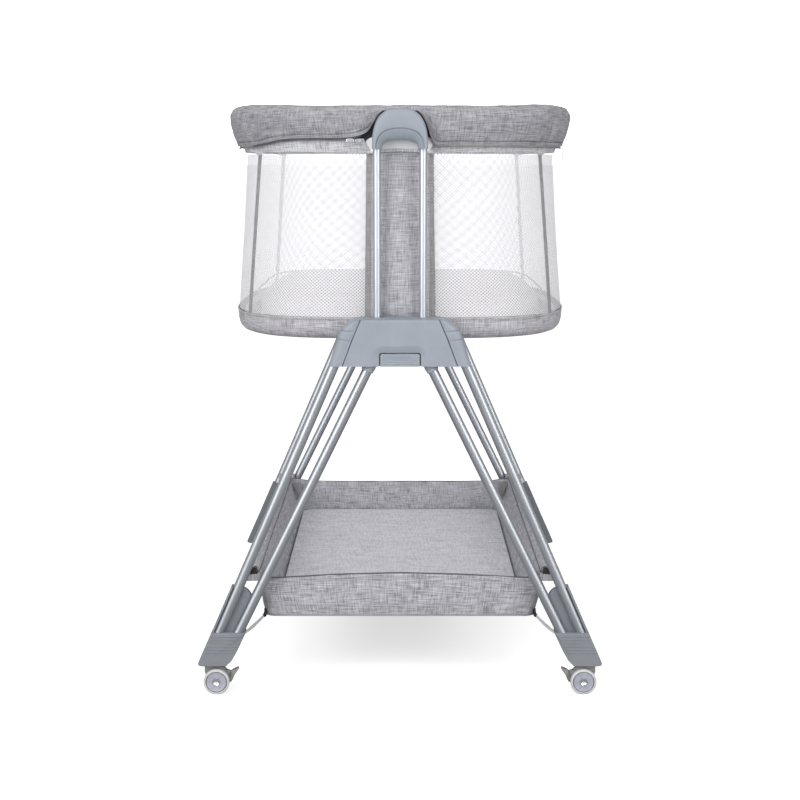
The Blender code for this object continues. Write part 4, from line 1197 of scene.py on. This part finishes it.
def caster(corner, side):
    """Twin wheels, the swivelling fork with its stem, and the brake lever."""
    low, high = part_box(f"{corner}_caster_wheel")
    hub_at = (low + high) / 2
    radius = hub_at.z
    wheels(corner, hub_at, (high.y - low.y) / 2)

    stem = hub_at + Vector((side * 0.01, 0, 0))
    place = lambda u, v, w: Vector((stem.x - side * u, stem.y + w, v))
    turns = [math.radians(52 + 3 * k) for k in range(17)]
    outline = [(0.0195, 0.015), (0.0205, 0.033)]
    outline += [(0.01 + 0.0235 * math.cos(turn), radius + 0.0235 * math.sin(turn)) for turn in turns]
    outline += [(-0.0095, 0.045), (-0.01, 0.034), (-0.002, 0.018), (0.008, 0.012)]
    fork = [plate(outline, (-0.0048, 0.0048), place, 0.0016, 0.001)]
    ear = [(0.018, 0.0385), (0.018, 0.028), (0.0255, 0.0295)]
    ear += [(0.0272 + 0.0038 * math.cos(math.radians(a)), 0.033 + 0.0038 * math.sin(math.radians(a)))
            for a in range(-60, 101, 20)]
    fork += [plate(ear, depth, place, 0.0008, 0.0005) for depth in ((-0.0048, -0.003), (0.003, 0.0048))]
    fork.append(lathe(((0, 0.0086), (0.0006, 0.0093), (0.003, 0.0095), (0.0035, 0.0088)),
                      (stem.x, stem.y, 0.0424), (0, 0, 1), 48))
    fork.append(rod((stem.x, stem.y, 0.0435), (stem.x, stem.y, 0.063), 0.004, 24))
    fork.append(rod((place(0.0272, 0.033, -0.0056)), place(0.0272, 0.033, 0.0056), 0.0022, 20))
    piece(f"{corner}_fork_moulding", fork, "caster", f"{corner}_caster", [f"{corner}_caster_fork"])

    web = [(0.0248, 0.0355), (0.028, 0.0366), (0.0332, 0.0362), (0.0386, 0.0305), (0.0355, 0.022),
           (0.0322, 0.0165), (0.03, 0.0172), (0.0302, 0.0255), (0.0262, 0.0297), (0.024, 0.0325)]
    tab = [(0.0334, 0.0364), (0.0438, 0.041), (0.0454, 0.0396), (0.0386, 0.03), (0.035, 0.027)]
    lever = [plate(web, (-0.0026, 0.0026), place, 0.0012, 0.0008),
             plate(tab, (-0.0065, 0.0065), place, 0.0012, 0.0008)]
    for share in (0.3, 0.48, 0.66, 0.84):
        u, v = 0.0334 + 0.0104 * share, 0.0364 + 0.0046 * share
        lever.append(rod(place(u, v, -0.0056), place(u, v, 0.0056), 0.0005, 10, 0.0001))
    piece(f"{corner}_lever_moulding", lever, "caster", f"{corner}_brake", [f"{corner}_caster_brake"])


# ---- Basket ----

def basket_loop(half_x, half_y, z, corner, per_side=60, steps=14):
    """A rectangle with round corners, dense along its sides."""
    arcs = []
    for quarter, (sx, sy) in enumerate(((1, 1), (-1, 1), (-1, -1), (1, -1))):
        turns = [math.pi / 2 * (quarter + k / steps) for k in range(steps + 1)]
        arcs.append([Vector((sx * (half_x - corner) + corner * math.cos(turn),
                             sy * (half_y - corner) + corner * math.sin(turn), z)) for turn in turns])
    loop = []
    for arc, following in zip(arcs, arcs[1:] + arcs[:1]):
        loop += arc + [arc[-1].lerp(following[0], k / per_side) for k in range(1, per_side)]
    return loop


def basket_rise(x, y):
    """How far the basket's rim stands above or below its corners: arched in front, low behind."""
    along = min(abs(x) / BASKET_HIGH.x, 1.0)
    end = smooth((abs(y) - BASKET_HIGH.y + 0.035) / 0.02)
    if y < 0:
        return end * eased(((0.0, 0.0042), (0.45, 0.0014), (0.88, -0.0036), (1.0, -0.001)), along)
    return end * eased(((0.0, -0.0085), (0.8, -0.0075), (1.0, -0.001)), along)


def basket_shell(share, grow):
    """A line around the basket's wall at a share of its height, moved outwards by grow."""
    rim_x, rim_y, rim_z = BASKET_HIGH
    inward = BASKET_TAPER * (1 - share) - grow
    z = BASKET_LOW.z + (rim_z - BASKET_LOW.z) * share
    loop = basket_loop(rim_x - inward, rim_y - inward, z, BASKET_CORNER)
    for point in loop:
        point.z += basket_rise(point.x, point.y) * smooth(share)
        if abs(point.x) > rim_x - 0.03:
            slope = 0.013 * (1 - share) * smooth((rim_y - 0.03 - abs(point.y)) / 0.06)
            point.x -= math.copysign(slope, point.x)
    return loop


def basket():
    """Cloth tray with a bound rim, and the board on its floor."""
    foot_z = BASKET_LOW.z

    def walls(shares, grow):
        return [basket_shell(share, 0.0026 * math.sin(math.pi * share) + grow) for share in shares]

    middle = [k / 14 for k in range(1, 13)]
    rows = walls([0.0, 0.012, 0.03] + middle + [0.895], -0.0004) + walls([0.91], 0.0003)
    rim = ((0.985, 0.0004), (1.0, -0.0008), (1.0, -0.0022), (0.985, -0.0032))
    rows += [basket_shell(*place) for place in rim]
    rows += walls([0.91], -0.0033) + walls([0.895] + middle[:0:-1], -0.0028) + [basket_shell(0.043, -0.003)]
    made = object_of("basket_fabric", [grid(rows, wrap=True, ends=True)])

    def free(co):
        return smooth((co.z - foot_z - 0.004) / 0.02)

    ripple(made, 0.0018, (0.09, 0.09, 0.04), 21.0, free)
    ripple(made, 0.0009, (0.03, 0.03, 0.02), 23.0, free)
    dress(made, "basket", "stand", ["basket"], sharp=50)

    low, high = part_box("basket_board")
    half_x, half_y = high.x - 0.009, high.y - 0.004
    corners = ((-half_x, -half_y), (half_x, -half_y), (half_x, half_y), (-half_x, half_y))
    board = plate(corners, (low.z, high.z), lambda u, v, w: Vector((u, v, w)), 0.022, 0.0012)
    piece("basket_floor_board", board, "board", "stand", ["basket_board"])
    return basket_loop(half_x, half_y, high.z - 0.0006, 0.016)


def basket_trim(board_edge):
    """Stitches and piping of the basket, near-black cords at its rim and board edge that are partly painted
    shade, flat darker patches at its rear corners that are painted shade of folds, and side hems over the
    rods.
    """
    rim_x, rim_y, _ = BASKET_HIGH

    def away(p):
        sideways = (abs(p.x) > rim_x - 0.04) * p.x / rim_x
        endways = (abs(p.y) > rim_y - 0.04) * p.y / rim_y
        return Vector((sideways, endways, 0.01)).normalized()

    lines = [[(p, away(p)) for p in basket_shell(*place)] for place in ((0.87, 0.0014), (0.045, 0.001))]
    piece("basket_stitches", stitches(lines), "thread", "stand")
    piece("basket_piping", cord_loop(basket_shell(0.012, 0.0004), 0.0011), "binding", "stand")
    # Both cords are near black. The rim cord is a piping whose dark colour is partly painted shade of the gap
    # under the rim. The cord round the board's edge is a painted shadow line along the gap between board and
    # walls.
    dark = [cord_loop(basket_shell(1.0, -0.0004), 0.0013), cord_loop(board_edge, 0.0008)]
    piece("basket_piping_and_painted_shadow_lines", dark, "zip_tape", "stand")
    # Flat patches of darker cloth at the rear inner corners: painted shade where folds would be shaded, not
    # folds.
    outline = ((0.2262, 0.18), (0.2075, 0.1795), (0.206, 0.148), (0.212, 0.15))
    corner_shade_patches = [plate([(side * x, z) for x, z in outline], (0.3835, 0.3855), facing(1), 0.002, 0.0008)
             for _, side in SIDES]
    piece("basket_corner_painted_shade", corner_shade_patches, "binding", "stand")
    sleeves = []
    for side_name, side in SIDES:
        low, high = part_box(f"{side_name}_side_rail")
        middle_z = (low.z + high.z) / 2
        rows = []
        for y in spread(-rim_y + 0.026, rim_y - 0.026, 90):
            radius = 0.0062 + 0.0005 * noise.noise(Vector((side * 3.0, y * 30, 0)))
            rows.append([Vector((side * SIDE_RAIL_X + radius * math.cos(a), y,
                                 middle_z + radius * math.sin(a)))
                         for a in [math.pi / 10 * k for k in range(20)]])
        sleeves.append(grid(rows, wrap=True, ends=True))
    piece("basket_side_sleeves", sleeves, "basket", "stand")


def basket_straps():
    """Webbing over the ends of the side rails, black tabs at the bottom corners and straps to the feet."""
    loops, covers, tabs, straps = [], [], [], []
    low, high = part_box("right_side_rail")
    rail_z = (low.z + high.z) / 2
    webbing_outline = ((0.2265, rail_z + 0.005), (0.229, rail_z + 0.015), (0.233, rail_z + 0.0158),
                       (0.243, rail_z + 0.006), (0.2425, rail_z + 0.004))
    cover_outline = ((0.2215, rail_z - 0.0066), (0.2215, rail_z + 0.0058), (0.23, rail_z + 0.0066),
                     (0.2545, rail_z + 0.005), (0.2552, rail_z - 0.0046), (0.244, rail_z - 0.0072))
    x, y, foot = BASKET_HIGH.x - BASKET_TAPER, BASKET_HIGH.y - BASKET_TAPER, BASKET_LOW.z
    for _, end, side in CORNERS:
        place = facing(end, side)
        loops.append(plate(webbing_outline, (0.405, 0.4165), place, 0.0015, 0.0012))
        covers.append(plate(cover_outline, (0.4035, 0.416), place, 0.003, 0.0024))
        path = [place(x - 0.0002, foot + 0.011, y - 0.005), place(x + 0.0002, foot + 0.005, y - 0.0042),
                place(x + 0.0014, foot + 0.0006, y - 0.0036), place(x + 0.0036, foot - 0.001, y - 0.003)]
        tabs.append(ribbon(path, [Vector((side, end, 0)).normalized()] * 4, 0.007, 0.0014))
        goal = place(0.249, 0.0965, 0.418)
        for drop, start in ((0.0, path[-1]), (-0.0022, path[-1] + Vector((0, 0, -0.0004)))):
            line = [start.lerp(goal, t) + Vector((0, 0, drop * math.sin(math.pi * t)))
                    for t in spread(0, 1, 8)]
            straps.append(ribbon(line, [Vector((0, end, 0.5)).normalized()] * 8, 0.0034, 0.0009))
    piece("basket_webbing_loops", loops, "webbing", "stand")
    piece("basket_rail_covers", covers, "basket", "stand", sharp=60)
    piece("basket_corner_tabs", tabs, "webbing", "stand")
    piece("basket_foot_straps", straps, "strap", "stand")


# ---- Carried-over CAD nodes ----

def dress_cad_nodes():
    """Give every CAD node that still shows a procedural material for its slot."""
    by_slot = {slot: material for material, slot in LOOKS.values()}
    by_slot["linen"] = LOOKS["panel"][0]
    by_slot["caster_wheel"] = LOOKS["tyre"][0]
    by_slot["leg_tube"] = metal("rail_metal", (0.47, 0.5, 0.53), 0.36, woven=False)
    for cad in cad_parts.values():
        for holder in cad.material_slots:
            holder.material = by_slot[holder.material.name]


# ---- Stage ----

def white_floor():
    """Floor that keeps soft shadows and looks white around them."""
    bpy.ops.mesh.primitive_plane_add(size=900.0)
    floor = bpy.context.active_object
    floor.name = "floor"
    made, tree, shader = principled("floor_paint", 0.9)
    shader.inputs["Emission Color"].default_value = (1.0, 1.0, 1.0, 1.0)
    shader.inputs["Specular IOR Level"].default_value = 0.0
    seen = node(tree, "LightPath").outputs["Is Camera Ray"]
    away = node(tree, "VectorMath", [(0, node(tree, "TexCoord").outputs["Object"])], operation="LENGTH")
    growing = calc(tree, "MULTIPLY", away.outputs["Value"], 0.03)
    glow = calc(tree, "ADD", calc(tree, "MINIMUM", growing, 0.14), 0.5)
    tree.links.new(calc(tree, "MULTIPLY", seen, glow), shader.inputs["Emission Strength"])
    tone = calc(tree, "MULTIPLY_ADD", grain(tree, False, (0.6, 0.6, 0.6)), 0.02, 0.38)
    tree.links.new(calc(tree, "MULTIPLY_ADD", seen, 0.56, tone), shader.inputs["Base Color"])
    floor.data.materials.append(made)


def backdrop():
    """White surroundings that light the object a little more from the front and the rear."""
    world = bpy.data.worlds.new("studio")
    bpy.context.scene.world = world
    world.use_nodes = True
    tree = world.node_tree
    background = tree.nodes["Background"]
    seen = node(tree, "LightPath").outputs["Is Camera Ray"]
    way = node(tree, "SeparateXYZ", [("Vector", node(tree, "TexCoord").outputs["Generated"])])
    forward = calc(tree, "MAXIMUM", calc(tree, "MULTIPLY", way.outputs[1], -1.0), 0.0)
    above = calc(tree, "MAXIMUM", way.outputs[2], 0.0)
    level = calc(tree, "MULTIPLY_ADD", calc(tree, "POWER", forward, 1.5), 0.55, 0.5)
    level = calc(tree, "MULTIPLY_ADD", above, -0.22, level)
    level = calc(tree, "MULTIPLY_ADD", calc(tree, "MAXIMUM", way.outputs[1], 0.0), 0.26, level)
    tree.links.new(calc(tree, "ADD", calc(tree, "MULTIPLY", seen, 1.0), level), background.inputs["Strength"])
    background.inputs["Color"].default_value = (1.0, 1.0, 1.0, 1.0)


def lights_and_camera():
    """Soft lights from the front and above, and the camera in front."""
    scene = bpy.context.scene
    for name, place, size, power in (("key", (-2.2, -3.0, 1.7), (2.4, 2.6), 84.0),
                                     ("fill", (2.4, -2.8, 1.5), (2.2, 2.4), 58.0),
                                     ("top", (0.0, -1.6, 3.2), (3.0, 3.0), 16.0)):
        data = bpy.data.lights.new(name, "AREA")
        data.shape = "RECTANGLE"
        data.size, data.size_y = size
        data.energy = power
        light = bpy.data.objects.new(name, data)
        light.location = place
        aim = Vector((0, 0, 0.55)) - Vector(place)
        light.rotation_euler = aim.to_track_quat("-Z", "Y").to_euler()
        scene.collection.objects.link(light)

    data = bpy.data.cameras.new("camera")
    data.sensor_width = 36.0
    data.lens = CAMERA_LENS
    data.clip_end = 2000.0
    made = bpy.data.objects.new("camera", data)
    made.location = CAMERA_PLACE
    made.rotation_euler = (math.radians(90 - CAMERA_TILT), 0, 0)
    scene.collection.objects.link(made)
    scene.camera = made
    scene.view_settings.view_transform = "Standard"


white_floor()
backdrop()
lights_and_camera()
dress_cad_nodes()
rim_cover()
zip_tapes()
sliders_and_pulls()
mesh_wall()
lower_band()
mattress()
posts_and_legs()
feet()
basket_trim(basket())
basket_straps()
for end_label, end_sign in ENDS:
    end_panel(f"{end_label}_end_panel", 0.0 if end_sign < 0 else HALF_PLAN)
    cap(end_label, end_sign)
    bracket(end_label, end_sign)
    hub(end_label, end_sign)
    hub_cover(end_label, end_sign)
    release_button(end_label, end_sign)
    for side_label, side_sign in SIDES:
        caster(f"{end_label}_{side_label}", side_sign)
